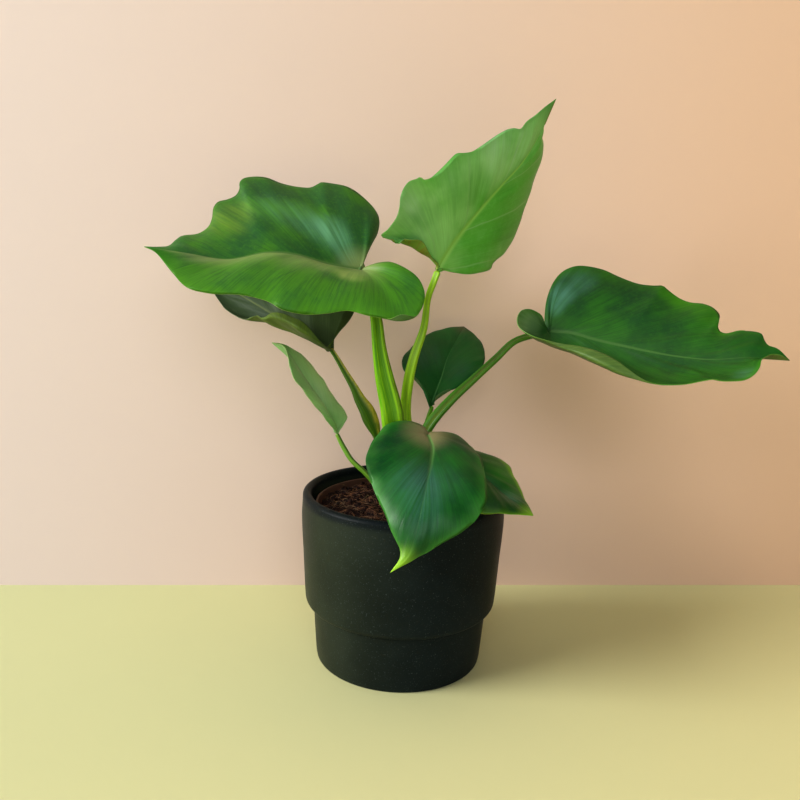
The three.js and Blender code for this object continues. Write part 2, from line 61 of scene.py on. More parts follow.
LEAVES = {
    "left_large": dict(
        notch=(-31, 1, 271),
        rib=[(-34, -2, 270), (-55, -8, 273), (-74, -12, 278), (-93, -15, 279),
             (-117, -20, 274), (-143, -24, 277)],
        tip=(-168, -27, 280),
        left=[(-24, -2, 274), (-16, -6, 276), (-6, -13, 273), (4, -21, 266), (8, -31, 256),
              (3, -44, 245), (-7, -48, 242), (-25, -50, 244), (-38, -49, 247),
              (-51, -52, 245), (-65, -54, 244), (-77, -54, 246), (-87, -50, 251),
              (-104, -50, 254), (-122, -50, 254), (-136, -47, 257), (-148, -39, 266),
              (-160, -31, 277)],
        right=[(-34, 8, 278), (-33.5, 13, 283), (-29, 18, 287), (-25, 24, 294), (-24, 30, 303),
               (-27, 35, 310), (-35, 41, 318), (-47, 44, 325), (-58, 45, 327.5), (-66, 43.5, 328),
               (-69, 42.5, 326), (-73, 41, 324), (-80, 40, 324), (-94, 39, 326), (-104, 38.5, 329),
               (-113, 37.5, 329.5), (-118.5, 34, 328), (-120.5, 31.5, 325), (-120, 29, 320.5),
               (-122, 27, 316), (-127, 24.5, 313), (-133, 22, 311), (-135, 19, 307.5),
               (-134.5, 11.5, 299.5), (-136, 6, 294), (-141.5, 1, 289.5), (-150.5, -4.5, 287.5),
               (-153.5, -7, 285), (-157, -11, 281), (-162, -18, 280)],
        sweep=0.8, pleat=0.3,
        lobe=(0.34, 0.26), arch=(5, 4), rolls=[("left", 0.25, 0.29, 0.33, 5, 130)],
    ),
    "top_young": dict(
        notch=(17, 0, 270),
        rib=[(17, 0, 273), (26, 2, 289), (35, 3, 302), (47, 5, 317), (58, 7, 330),
             (69, 9, 343), (78, 13, 358)],
        tip=(90, 20, 385),
        left=[(16, -3, 277), (9.5, -6, 281), (3, -9, 284.5), (-3.5, -12, 288), (-10.5, -16, 290),
              (-16.5, -19, 291), (-20.5, -21.5, 292.5), (-16.5, -23.5, 296), (-11.5, -25.5, 303.5),
              (-10, -26.5, 310), (-9.5, -27, 316), (-7, -26.5, 322), (-4, -26, 325.5),
              (0, -25, 327), (2.5, -24, 328.5), (4.5, -23.5, 327), (8.5, -22.5, 328),
              (12, -21.5, 331), (17.5, -19, 337), (21.5, -18, 341.5), (24.5, -17, 344),
              (29.5, -15, 344.7), (34, -13, 345.7), (39, -11, 349), (45.5, -8, 354),
              (52, -5.5, 358.7), (57, -3, 361.5), (61, -1.5, 362.5), (65.5, 0.5, 362.5),
              (69.5, 3.5, 367.5), (75.5, 8, 372.5), (82, 13.5, 378.5)],
        right=[(21.5, 3.5, 271.7), (28.5, 9, 270.5), (36, 14.5, 269.7), (43, 19.5, 269.7),
               (49.5, 24, 271.3), (54, 26.5, 273.8), (55, 28, 276.8), (58.5, 31, 279.7),
               (63, 33.5, 283), (66.5, 35.5, 288), (70.5, 37.5, 295), (72, 38, 299.7),
               (73.5, 38, 306), (75.5, 38, 313), (78, 37.5, 319.5), (80, 36.5, 327.5),
               (80.5, 35.5, 331.5), (82, 33, 338), (84, 30, 346), (84.7, 26.3, 353),
               (84.3, 24, 358), (82.8, 22.3, 361), (83, 20.6, 365.3), (81.6, 19, 370),
               (82.5, 18.2, 374.3), (85, 18.2, 379)],
        sweep=0.8, pleat=0.3,
        lobe=(0.3, 0.22), arch=(3, 5),
        rolls=[("left", 0.02, 0.14, 0.25, 11, 135)], drawn_in={"left": (1, 9, 10)},
    ),
    "right_large": dict(
        notch=(90, 1, 235),
        rib=[(93, 0, 234), (106, -6, 234), (121, -14, 231), (148, -28, 227),
             (166, -37, 225), (185, -46, 225), (205, -54, 228)],
        tip=(226, -60, 228),
        left=[(90, 4.5, 241.5), (91.5, 11, 252), (96, 20, 263.5), (103, 25.5, 272.5),
              (112, 28, 276.5), (121, 27.5, 277), (131.5, 23.5, 275.5), (141.5, 18, 271),
              (153.5, 12, 267), (163, 8.5, 266), (167.5, 6.5, 266.3), (170.5, 4.5, 264),
              (178, -1, 259), (183.5, -4.5, 257), (190, -8.5, 256.5), (195, -13, 254.5),
              (198, -17, 250.7), (196.3, -22, 247), (194.5, -26, 243), (195.5, -29.3, 240.4),
              (199.5, -32, 240.2), (204.5, -35, 242.2), (211, -38.5, 242.5), (215, -43, 241.5),
              (215.5, -46, 238.5), (216.5, -50, 235.5), (220.5, -55, 234)],
        right=[(86.5, -4, 244.5), (83, -5.5, 247), (77, -8.5, 249), (71.5, -12, 248),
               (68.5, -16.5, 243.5), (69.5, -22.5, 238), (75, -27.5, 234.5), (83, -31.5, 232),
               (95, -35.5, 227), (102.5, -39.5, 225), (116, -51, 220), (128.5, -58, 215),
               (140.5, -62, 211.7), (146, -64, 211.4), (154.5, -67, 212), (163, -69.5, 213),
               (172, -71, 215.5), (177.5, -73, 216.8), (181, -74, 216), (187, -75, 216.3),
               (193.5, -75.5, 217.5), (199.5, -73.5, 220.5), (205, -68.5, 225),
               (206.5, -66, 228.5), (210, -64, 230.3), (214.5, -61.5, 231.5), (220, -61, 231)],
        sweep=1.3, pleat=0.3,
        lobe=(0.22, 0.3), arch=(3, -7), rolls=[("right", 0.24, 0.45, 0.62, 9, 140)],
    ),
    "back_small": dict(
        notch=(17, 28, 172),
        rib=[(18, 32, 176), (25, 48, 193), (29, 62, 204), (36, 78, 216)],
        tip=(43, 96, 226),
        left=[(12, 30, 184), (7, 38, 192), (-3, 46, 197), (-4, 56, 205), (1, 66, 210),
              (11, 80, 218), (20, 88, 222), (32, 94, 225)],
        right=[(22, 33, 181), (30, 36, 186), (41, 40, 188), (52, 48, 196), (57, 60, 205),
               (57, 74, 213), (52, 86, 220)],
        sweep=0.9, pleat=0.1,
        lobe=(0.34, 0.34), arch=(4, 4), rolls=[],
    ),
    "left_lower": dict(
        notch=(-52, 15, 214),
        rib=[(-56, 15, 215), (-77, 24, 225), (-101, 36, 237), (-127, 48, 249)],
        tip=(-155, 60, 260),
        left=[(-55.3, 6.7, 216.5), (-60.3, 1.8, 220.3), (-66.8, 0, 224.6), (-73.8, 1.5, 228.2),
              (-81, 5, 231.3), (-88.6, 10, 234), (-94.7, 14, 235), (-99.5, 17.8, 233),
              (-103.5, 21, 233), (-106, 22.7, 234.5), (-111, 26.6, 233.5), (-115.7, 30, 232),
              (-122, 34.2, 232.6), (-129, 39, 235.3), (-134, 43, 238), (-137.7, 46.4, 242),
              (-148, 55, 253)],
        right=[(-52, 21, 223), (-45, 26, 231), (-39, 34, 242), (-40, 44, 258),
               (-52, 53, 273), (-73, 60, 283), (-99, 65, 286), (-124, 66, 281),
               (-142, 64, 271)],
        sweep=0.9, pleat=0.25,
        lobe=(0.26, 0.3), arch=(-5, 3), rolls=[("left", 0.08, 0.3, 0.6, 7, 120)],
    ),
    "front_hanging": dict(
        notch=(14, -21, 167),
        rib=[(14, -25, 166), (17, -38, 161), (16, -52, 155), (14, -64, 149), (12, -75, 142),
             (9.5, -85, 132.5), (7, -91.5, 121.5), (2.5, -94.5, 109)],
        tip=(-7, -97, 100),
        left=[(22, -20, 167), (28.5, -20, 166.7), (34, -22, 165.3), (38.5, -26, 163),
              (42.5, -32, 160), (46.5, -40, 157), (48.5, -49.3, 153), (49.6, -61, 147.4),
              (49.6, -69, 142.4), (48.7, -75, 137.3), (45.6, -79.3, 133), (42, -82.6, 128.4),
              (37.3, -85.2, 124.8), (33.2, -87, 122), (28.5, -88, 119.3), (24, -89, 117),
              (19.3, -90.2, 114.2), (14, -91.4, 110.8), (9, -92.7, 108.6), (4.4, -94.2, 106),
              (-1.3, -95.8, 103.3)],
        right=[(11.5, -19.5, 170), (7, -18, 172), (1, -18, 173), (-4.5, -18.5, 173),
               (-10.5, -20.5, 172), (-15, -24, 170), (-18.5, -29.5, 165.7), (-22, -35.5, 161.7),
               (-24, -41.5, 158), (-25, -48.5, 154.4), (-24, -55, 150.6), (-21.5, -62.5, 145.8),
               (-18.5, -69.5, 140.5), (-14.5, -76.5, 134.7), (-10.5, -82, 128.6),
               (-7.5, -86.5, 122.2), (-4.2, -89.2, 116.6), (-1.7, -91, 112.4),
               (-1.3, -92.6, 108.8), (-2.6, -94.3, 105.7), (-5, -96, 102.6)],
        sweep=2.0, pleat=0.1,
        lobe=(0.26, 0.26), arch=(3.5, 3.5), rolls=[],
    ),
    "right_rim": dict(
        notch=(28, -11, 154),
        rib=[(31, -14, 154), (48, -28, 143), (65, -42, 132)],
        tip=(81, -56, 124),
        left=[(34, -3, 156), (44, 3, 153), (52, 3.5, 147), (57, 2, 146.7), (62.4, -1, 146.5),
              (67, -5, 145), (70, -10, 143), (72.4, -17, 139.4), (75.3, -27.4, 134.4),
              (77.5, -37.6, 129.5), (79.5, -46.5, 126.5)],
        right=[(27, -20, 149), (28, -36, 141), (36, -51, 133), (47, -60, 126),
               (60, -60, 126), (71, -58, 125)],
        sweep=1.2, pleat=0.2,
        lobe=(0.28, 0.28), arch=(3, 3), rolls=[],
    ),
    "left_satin": dict(
        notch=(-47, 1, 157),
        rib=[(-48, 3, 160), (-58, 3, 178), (-70, 4, 194), (-81, 4, 209)],
        tip=(-93, 4, 219),
        left=[(-48, -1, 160), (-51.5, -7, 166), (-56.5, -13, 174.3), (-62, -18, 182.5),
              (-68, -22.5, 191.5), (-73, -24, 198.6), (-77, -21, 206), (-79.6, -13.7, 212.2),
              (-81.6, -7.4, 216), (-85.5, -2, 218.2)],
        right=[(-46, 3, 159.4), (-44, 7, 163), (-42.5, 11.5, 166), (-41.5, 14, 168),
               (-46.5, 19.5, 173.4), (-54, 24.5, 182.3), (-61, 26, 191.8), (-67.3, 24, 200.8),
               (-75.6, 18.7, 210), (-83, 11, 216), (-87.4, 7.4, 218)],
        sweep=1.2, pleat=0.1,
        lobe=(0.2, 0.2), arch=(3, 3), rolls=[],
    ),
}

# Each stalk from the soil to its blade: x, y, z, half width, half depth; then the
# direction that its groove faces.
FOOT = 92
STALKS = {
    "left_large": ([(-2, -5, FOOT, 5.5, 3.8), (-3, -5, 129, 7, 4.2), (-6, -5, 150, 7.8, 4),
                    (-9, -5, 169, 8, 3.9), (-11, -4, 180, 7.6, 3.8),
                    (-16, -3, 199, 6.4, 3.5), (-20, -2, 218, 4.9, 3.3),
                    (-23, -1, 239, 4, 3.1), (-27, -1, 254, 3.7, 3),
                    (-33, -1.5, 268.5, 3.2, 2.6)], (0.3, -0.95, 0)),
    "top_young": ([(8, 5, FOOT, 3.4, 3.4), (5, 5, 133, 3.8, 3.6), (2, 5, 155, 3.9, 3.7),
                   (-1, 5, 176, 3.9, 3.7), (0, 4, 195, 3.9, 3.4), (3, 3, 212, 3.5, 3.1),
                   (9, 2, 233, 2.6, 2.6), (11, 1, 253, 2.2, 2.3), (14, 0, 263, 2.3, 2.2),
                   (17, 0.3, 272, 2.4, 2)], (-0.6, -0.8, 0)),
    "right_large": ([(12, -5, FOOT, 4.2, 3.2), (9, -6, 130, 4.6, 3.4),
                     (9, -6, 152, 4.8, 3.4), (15, -6, 168, 4.9, 3.4),
                     (28, -5, 185, 4.3, 3.2), (43, -3, 200, 3.4, 2.9),
                     (58, -2, 215, 2.9, 2.7), (69, 0, 226, 2.6, 2.5),
                     (78, 1, 230, 2.5, 2.4), (92, 0.8, 233, 2.3, 1.9)], (-0.5, -0.4, 0.7)),
    "back_small": ([(1, 12, FOOT, 2.8, 2.8), (2, 13, 120, 3, 2.8), (7, 17, 145, 2.7, 2.5),
                    (14, 25, 163, 2.4, 2.2), (18, 31, 174.5, 2, 1.8)], (0, 0.4, 0.9)),
    "left_lower": ([(-12, 7, FOOT, 2.6, 2.6), (-14, 8, 134, 2.3, 2.4), (-17.6, 8, 146, 2.2, 2.3),
                    (-20.4, 8, 156.5, 2.9, 2.5), (-22.3, 8, 162, 4.6, 3),
                    (-25, 8, 168, 5.6, 3.2), (-27.7, 8, 174, 5.3, 3.1),
                    (-32.4, 8.5, 181, 4.1, 2.9), (-37, 9.5, 189.5, 2.9, 2.4),
                    (-44.5, 11.5, 201, 2.1, 2), (-50, 13, 209.5, 1.7, 1.7),
                    (-54.5, 14.5, 215.5, 1.6, 1.6)], (0.3, -0.9, 0.3)),
    "front_hanging": ([(3, -15, FOOT, 3, 3), (4, -16, 122, 3.2, 3), (8, -18, 145, 2.8, 2.6),
                       (12, -22, 158, 2.5, 2.3), (14, -26, 165, 2.2, 1.9)],
                      (0, -0.8, 0.6)),
    "right_rim": ([(14, -15, FOOT, 2.6, 2.6), (15, -15, 120, 2.8, 2.6),
                   (21, -14, 138, 2.4, 2.2), (30.5, -14, 153, 1.9, 1.7)],
                  (0.4, -0.4, 0.8)),
    "left_satin": ([(-13, -7, FOOT, 2.8, 2.8), (-14, -7, 114, 2.9, 2.8),
                    (-18, -7, 124, 2.7, 2.6), (-26, -6, 133, 2.4, 2.3),
                    (-36, -3, 141, 2.2, 2.1), (-42, 0, 149, 2.2, 2.1),
                    (-47.5, 2, 158.5, 1.9, 1.7)], (0.7, 0, 0.7)),
}

# ------------------------------------------------------------------ curves

def smooth_points(points, shares):
    """Points at the given shares of the length of a centripetal curve through points."""
    knots = np.array(points, float)
    ends = np.vstack([2 * knots[0] - knots[1], knots, 2 * knots[-1] - knots[-2]])
    gaps = np.maximum(np.linalg.norm(np.diff(ends[:, :3], axis=0), axis=1) ** 0.5, 1e-4)
    u = np.linspace(0, 1, 25)[:-1, None]
    pieces = []
    for k in range(len(knots) - 1):
        p0, p1, p2, p3 = ends[k:k + 4]
        d0, d1, d2 = gaps[k:k + 3]
        start = ((p1 - p0) / d0 - (p2 - p0) / (d0 + d1) + (p2 - p1) / d1) * d1
        finish = ((p2 - p1) / d1 - (p3 - p1) / (d1 + d2) + (p3 - p2) / d2) * d1
        a = 2 * p1 - 2 * p2 + start + finish
        b = -3 * p1 + 3 * p2 - 2 * start - finish
        pieces.append(((a * u + b) * u + start) * u + p1)
    line = np.vstack(pieces + [knots[-1:]])
    length = np.concatenate([[0], np.cumsum(np.linalg.norm(np.diff(line[:, :3], axis=0), axis=1))])
    at = np.array(shares) * length[-1]
    return np.stack([np.interp(at, length, line[:, k]) for k in range(line.shape[1])], axis=1)


def bump(x, start, peak, end):
    """0 outside start..end, 1 at the peak, smooth between."""
    rise = np.clip((x - start) / (peak - start), 0, 1)
    fall = np.clip((end - x) / (end - peak), 0, 1)
    share = np.minimum(rise, fall)
    return share * share * (3 - 2 * share)


# ------------------------------------------------------------------ blades

LOBE_ROWS = 0.3        # share of the rows whose veins start at the stalk
FACE_COLUMNS = 26      # columns of a half from the midrib to the fold
ROLL_COLUMNS = 9       # columns of a half in its rolled edge
BLADE_ROWS = 120
LEVEL_ROW = 54         # a row across the broad part, to tell inside from outside

THICK, THIN = 0.75, 0.4          # blade beside the midrib and at its margin
MARGIN_BORDER = 0.1              # outermost strip, where the faces meet
RIB_RISE, RIB_WIDTH = 1.5, 1.9   # midrib underneath, at its base
CALM_AT_STALK, CALM_BY_RIB = 25, 6   # nearer than this, the blade swells less


def half_sheet(leaf, side):
    """One half of a blade's middle surface: rows from the notch to the tip."""
    rows = np.linspace(0, 1, BLADE_ROWS + 1)
    sign = 0 if side == "left" else 1
    lobe = leaf["lobe"][sign]
    beyond = np.clip((rows - LOBE_ROWS) / (1 - LOBE_ROWS), 0, 1)
    rib = smooth_points(leaf["rib"] + [leaf["tip"]], beyond ** 1.15)
    shares = np.where(rows < LOBE_ROWS, rows / LOBE_ROWS * lobe, lobe + beyond * (1 - lobe))
    margin = smooth_points([leaf["notch"]] + leaf[side] + [leaf["tip"]], shares)

    upper = upper_direction(leaf)
    control = (rib + margin) / 2
    control += upper * (2 * leaf["arch"][sign] * np.sin(np.pi * rows ** 0.8))[:, None]
    if side in leaf.get("drawn_in", {}):
        control += bump(rows, 0.04, 0.26, 0.55)[:, None] * np.array(leaf["drawn_in"][side])
    t = (np.arange(FACE_COLUMNS + 1) / FACE_COLUMNS) ** 1.35
    t = t[None, :, None]
    face = ((1 - t) ** 2 * rib[:, None] + 2 * t * (1 - t) * control[:, None]
            + t ** 2 * margin[:, None])

    # a rolled edge turns about the margin, from the blade's own slope to its upper side
    along = unit(np.gradient(margin, axis=0))
    lift = np.cross(unit(face[:, -1] - face[:, -3]), along)
    lift = unit(lift * np.sign((lift * upper).sum(axis=1))[:, None] + 0.35 * upper)
    outward = unit(np.cross(along, lift))
    inside = face[LEVEL_ROW].mean(axis=0)
    outward *= np.sign((outward * (margin - inside)).sum(axis=1))[:, None]
    width = MARGIN_BORDER * np.sin(np.pi * rows) ** 0.3
    turn = np.zeros(BLADE_ROWS + 1)
    for roll_side, start, peak, end, most, degrees in leaf["rolls"]:
        if roll_side == side:
            width = np.maximum(width, most * bump(rows, start, peak, end))
            share = bump(rows, start, peak, end) ** 0.3
            turn = np.maximum(turn, math.radians(degrees) * share)
    columns = [face]
    point = face[:, -1]
    for column in range(1, ROLL_COLUMNS + 1):
        angle = (turn * min(1, column / (0.45 * ROLL_COLUMNS)))[:, None]
        step = (width / ROLL_COLUMNS)[:, None]
        point = point + step * (np.cos(angle) * outward + np.sin(angle) * lift)
        columns.append(point[:, None])
    return np.concatenate(columns, axis=1)


def unit(vectors):
    return vectors / np.maximum(np.linalg.norm(vectors, axis=-1, keepdims=True), 1e-6)


def upper_direction(leaf):
    left, right = [smooth_points([leaf["notch"]] + leaf[side] + [leaf["tip"]], [0.45])[0]
                   for side in ("left", "right")]
    return unit(np.cross(right - left, np.array(leaf["tip"], float) - leaf["rib"][0]))


def grid_normals(points, upper):
    """Unit normals of a grid of points, shared where points coincide."""
    a, b = points[:-1, :-1], points[:-1, 1:]
    c, d = points[1:, 1:], points[1:, :-1]
    face = np.cross(b - a, c - a) + np.cross(c - a, d - a)
    total = np.zeros_like(points)
    for rows in (slice(None, -1), slice(1, None)):
        for columns in (slice(None, -1), slice(1, None)):
            total[rows, columns] += face
    flat = points.reshape(-1, 3)
    _, group = np.unique(np.round(flat, 3), axis=0, return_inverse=True)
    group = group.reshape(-1)
    summed = np.zeros((group.max() + 1, 3))
    np.add.at(summed, group, total.reshape(-1, 3))
    normals = unit(summed[group])
    if (normals @ upper).mean() < 0:
        normals = -normals
    return normals.reshape(points.shape)


def blade_faces(leaf):
    """Upper and lower face of a blade as grids of points, left margin to right margin."""
    left, right = half_sheet(leaf, "left"), half_sheet(leaf, "right")
    middle = np.concatenate([left[:, :0:-1], right], axis=1)
    columns = middle.shape[1]
    across = np.linspace(-1, 1, columns)[None, :]
    flat = np.clip(across * (FACE_COLUMNS + ROLL_COLUMNS) / FACE_COLUMNS, -1, 1)
    rows = np.linspace(0, 1, BLADE_ROWS + 1)[:, None]
    normals = grid_normals(middle, upper_direction(leaf))

    from_stalk = np.linalg.norm(middle - middle[:1, columns // 2:columns // 2 + 1], axis=2)
    rib = middle[:, columns // 2:columns // 2 + 1]
    from_rib = np.linalg.norm(middle - rib, axis=2)
    calm = np.clip(from_stalk / CALM_AT_STALK, 0, 1) * np.clip(from_rib / CALM_BY_RIB, 0, 1)
    calm = calm * (1 - np.abs(flat) ** 6) * np.sin(np.pi * rows) ** 0.3
    vein = 1 - (1 - rows) ** (1 / (1 + leaf["sweep"] * np.abs(flat) ** 0.9))
    pleats = np.sin(2 * np.pi * 6 * vein + 1.5 * flat) + 0.6 * np.sin(2 * np.pi * 11 * vein + 2)
    waves = np.sin(2 * np.pi * 5 * rows + 3 * flat) + 0.6 * np.sin(2 * np.pi * 9 * rows + 1)
    swell = leaf["pleat"] * calm * pleats
    ripple = 0.35 * np.abs(flat) ** 3 * waves * np.sin(np.pi * rows)
    channel = -0.45 * (1 - rows) * np.exp(-(from_rib / 1.6) ** 2)
    sheet = middle + normals * (swell + ripple + channel)[:, :, None]

    half = (THIN + (THICK - THIN) * (1 - np.abs(across)) * (1 - rows ** 4)) / 2
    ridge = RIB_RISE * (1 - rows) ** 0.7 * np.exp(-(from_rib / (RIB_WIDTH - rows)) ** 2)
    top = sheet + normals * half[:, :, None]
    bottom = sheet - normals * (half + ridge)[:, :, None]
    return top, bottom


def grid_mesh(name, rows, columns, place, mark, parted=0):
    """A mapped grid closed on itself: place(i, j) in metres, mark(i, j, low j) its UV.

    With `parted`, the grid is cut after each run of that many rows."""
    bm = bmesh.new()
    bmesh.ops.create_grid(bm, x_segments=rows, y_segments=columns, size=1)
    uv = bm.loops.layers.uv.new("UVMap")
    at = {}
    for vert in bm.verts:
        at[vert] = (round((vert.co.x + 1) / 2 * rows), round((vert.co.y + 1) / 2 * columns))
    for face in bm.faces:
        low = min(at[v][1] for v in face.verts)
        for loop in face.loops:
            loop[uv].uv = mark(*at[loop.vert], low)
    if parted:
        between = [f for f in bm.faces if len({at[v][0] // parted for v in f.verts}) > 1]
        bmesh.ops.delete(bm, geom=between, context="FACES_ONLY")
    for vert in bm.verts:
        vert.co = place(*at[vert])
    bmesh.ops.remove_doubles(bm, verts=bm.verts, dist=2e-6)
    bmesh.ops.dissolve_degenerate(bm, edges=bm.edges, dist=1e-7)
    bmesh.ops.recalc_face_normals(bm, faces=bm.faces)
    return new_piece(name, bm)


def put_in_scene(name, data):
    thing = bpy.data.objects.new(name, data)
    bpy.context.scene.collection.objects.link(thing)
    return thing


def object_from(name, bm):
    mesh = bpy.data.meshes.new(name)
    bm.to_mesh(mesh)
    bm.free()
    return put_in_scene(name, mesh)


def new_piece(name, bm, smooth=True):
    for face in bm.faces:
        face.smooth = smooth
    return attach(object_from(name, bm), ROOT)


def make_blade(name, leaf):
    """UV: x runs along the rows; y is 0 to 1 over the upper face, 1 to 2 underneath."""
    top, bottom = blade_faces(leaf)
    across = top.shape[1] - 1
    section = np.concatenate([top, bottom[:, ::-1], top[:, :1]], axis=1) * MM

    def place(row, column):
        return Vector(section[row, column])

    def mark(row, column, low):
        if low < across:
            y = column / across
        elif across < low < 2 * across + 1:
            y = 2 - (column - across - 1) / across
        else:
            y = 1.0
        return row / BLADE_ROWS, y

    return grid_mesh(name, BLADE_ROWS, section.shape[1] - 1, place, mark)


# ------------------------------------------------------------------ stalks

STALK_STEPS = 90
STALK_SIDES = 28


def make_stalk(name, stations, groove):
    """UV: x runs from the soil to the blade, y once round, with the groove at 0.25."""
    path = smooth_points(stations, np.linspace(0, 1, STALK_STEPS + 1))
    tangent = unit(np.gradient(path[:, :3], axis=0))
    across = unit(np.cross(tangent, np.array(groove, float)))
    opening = np.cross(across, tangent)

    def place(step, side):
        if step in (0, STALK_STEPS):
            return Vector(path[step, :3] * MM)
        ring = min(max(step, 1), STALK_STEPS - 1)
        angle = 2 * math.pi * side / STALK_SIDES
        height = math.sin(angle)
        depth = 0.8 * height - 0.5 * height ** 4 if height > 0 else height
        point = path[ring, :3] + across[ring] * path[ring, 3] * math.cos(angle)
        return Vector((point + opening[ring] * path[ring, 4] * depth) * MM)

    def mark(step, side, low):
        return step / STALK_STEPS, side / STALK_SIDES

    return grid_mesh(name, STALK_STEPS, STALK_SIDES, place, mark)


# ------------------------------------------------------------------ pots

def turned_piece(name, profile, sides):
    """A closed solid of revolution from (radius, height) points in millimetres."""
    bm = bmesh.new()
    verts = [bm.verts.new((r * MM, 0, z * MM)) for r, z in profile]
    edges = [bm.edges.new(pair) for pair in zip(verts, verts[1:])]
    bmesh.ops.spin(bm, geom=verts + edges, axis=(0, 0, 1), cent=(0, 0, 0), dvec=(0, 0, 0),
                   angle=2 * math.pi, steps=sides, use_merge=True)
    bmesh.ops.remove_doubles(bm, verts=bm.verts, dist=1e-6)
    bmesh.ops.recalc_face_normals(bm, faces=bm.faces)
    return new_piece(name, bm)


def arc(centre_r, centre_z, radius, start, end, steps=8):
    """Points of a round edge, from one angle to another, in degrees."""
    angles = [math.radians(start + (end - start) * k / steps) for k in range(steps + 1)]
    return [(centre_r + radius * math.cos(a), centre_z + radius * math.sin(a)) for a in angles]


POT_SIDES = 160
POT_HEIGHT = 120
POT_FLOOR = 8
STEP_HEIGHT = 43.5


def make_cover_pot():
    outside = smooth_points([(67.2, 52), (68.6, 78), (69.7, 95), (70, 105), (69.7, 112)],
                            np.linspace(0, 1, 22))
    inside = smooth_points([(63.5, 112), (63.3, 105), (62.8, 90), (61.9, 66), (61.2, 50)],
                           np.linspace(0, 1, 16))
    profile = [(0, 0.5), (40, 0.5), (53, 0.5), (53.6, 0), (56.2, 0)]
    profile += arc(56.2, 1.6, 1.6, -90, -5, 5)
    profile += [(58.3, 4), (59.4, 18), (60.5, 34)]
    profile += [(60.6, STEP_HEIGHT - 5)] + arc(61.6, STEP_HEIGHT - 4.2, 1, 180, 90, 4)
    profile += arc(61.6, STEP_HEIGHT + 1.8, 5, -88, -3, 9)
    profile += [tuple(p) for p in outside]
    profile += arc(66.5, POT_HEIGHT - 3.1, 3.1, 12, 172, 16) + [tuple(p) for p in inside]
    profile += [(57.2, STEP_HEIGHT - 1), (55.2, 24), (53.8, 12)]
    profile += arc(49.8, POT_FLOOR + 4, 4, 0, -90, 6) + [(0, POT_FLOOR)]
    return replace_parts(turned_piece("cover_pot_glazed", profile, POT_SIDES), "cover_pot")


LINER_SIDES = 120
LINER_BASE = 8.35
LINER_TOP = LINER_BASE + 104
LINER_WALL = 1.1


def make_growing_pot():
    neck = 59
    profile = [(0, LINER_BASE), (44, LINER_BASE)] + arc(44, LINER_BASE + 2, 2, -90, 0, 5)
    profile += [(neck, LINER_TOP - 5), (60.4, LINER_TOP - 4.6)]
    profile += arc(60, LINER_TOP - 0.6, 0.6, 0, 90, 4) + arc(59.6, LINER_TOP - 0.6, 0.5, 90, 180, 3)
    profile += [(58.1, LINER_TOP - 5), (45, LINER_BASE + 4)]
    profile += [(43, LINER_BASE + LINER_WALL), (0, LINER_BASE + LINER_WALL)]
    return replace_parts(turned_piece("growing_pot_moulded", profile, LINER_SIDES), "growing_pot")


# ------------------------------------------------------------------ soil

SOIL_TOP = 107.5
SOIL_RADIUS = 57.4
HEAPED = 4.4           # how far the loose top lies above the soil's own height
SOIL_CELLS = 170


def soil_height(x, y):
    """Height in millimetres of the uneven soil, where the stalks stand."""
    crumbs = math.sin(0.31 * x + 1) * math.cos(0.27 * y) + math.sin(0.19 * (x - 1.7 * y))
    return SOIL_TOP + 1.3 * crumbs - 0.001 * (x * x + y * y)


def make_soil_surface():
    """The loose top of the soil, with its lumps and hollows."""
    bm = bmesh.new()
    bmesh.ops.create_grid(bm, x_segments=SOIL_CELLS, y_segments=SOIL_CELLS,
                          size=SOIL_RADIUS * MM)
    outside = [v for v in bm.verts if v.co.length > SOIL_RADIUS * MM]
    bmesh.ops.delete(bm, geom=outside, context="VERTS")
    for vert in bm.verts:
        x, y = vert.co.x / MM, vert.co.y / MM
        coarse = noise.noise(Vector((x, y, 3)) * 0.22)
        fine = noise.noise(Vector((x, y, 9)) * 0.8)
        edge = max(0.0, (math.hypot(x, y) - 50) / 6.6) ** 2
        vert.co.z = (soil_height(x, y) + HEAPED + 1.7 * coarse + 0.8 * fine - 0.6 * edge) * MM
    skirt = bmesh.ops.extrude_edge_only(bm, edges=[e for e in bm.edges if e.is_boundary])
    for vert in [v for v in skirt["geom"] if isinstance(v, bmesh.types.BMVert)]:
        vert.co.z = (SOIL_TOP - 4) * MM
    bmesh.ops.recalc_face_normals(bm, faces=bm.faces)
    return new_piece("soil_surface", bm)


def make_soil_crumbs(count=520):
    """Lumps of bark and coir on the soil."""
    rng = random.Random(11)
    bm = bmesh.new()
    for _ in range(count):
        reach = (SOIL_RADIUS - 2.5) * math.sqrt(rng.random())
        turn = rng.uniform(0, 2 * math.pi)
        x, y = reach * math.cos(turn), reach * math.sin(turn)
        size = rng.uniform(0.6, 2.1)
        place = Matrix.Translation(Vector((x, y, soil_height(x, y) + HEAPED)) * MM)
        spin = Matrix.Rotation(rng.uniform(0, 6.3), 4, Vector((rng.random(), rng.random(), 1)))
        shape = Matrix.Diagonal((size * rng.uniform(0.8, 2.2) * MM, size * MM, size * 0.6 * MM, 1))
        made = bmesh.ops.create_icosphere(bm, subdivisions=1, radius=1, matrix=place @ spin @ shape)
        for vert in made["verts"]:
            jitter = [rng.uniform(-0.25, 0.25) * size * MM for _ in range(3)]
            vert.co += Vector(jitter)
    return new_piece("soil_crumbs", bm, smooth=False)


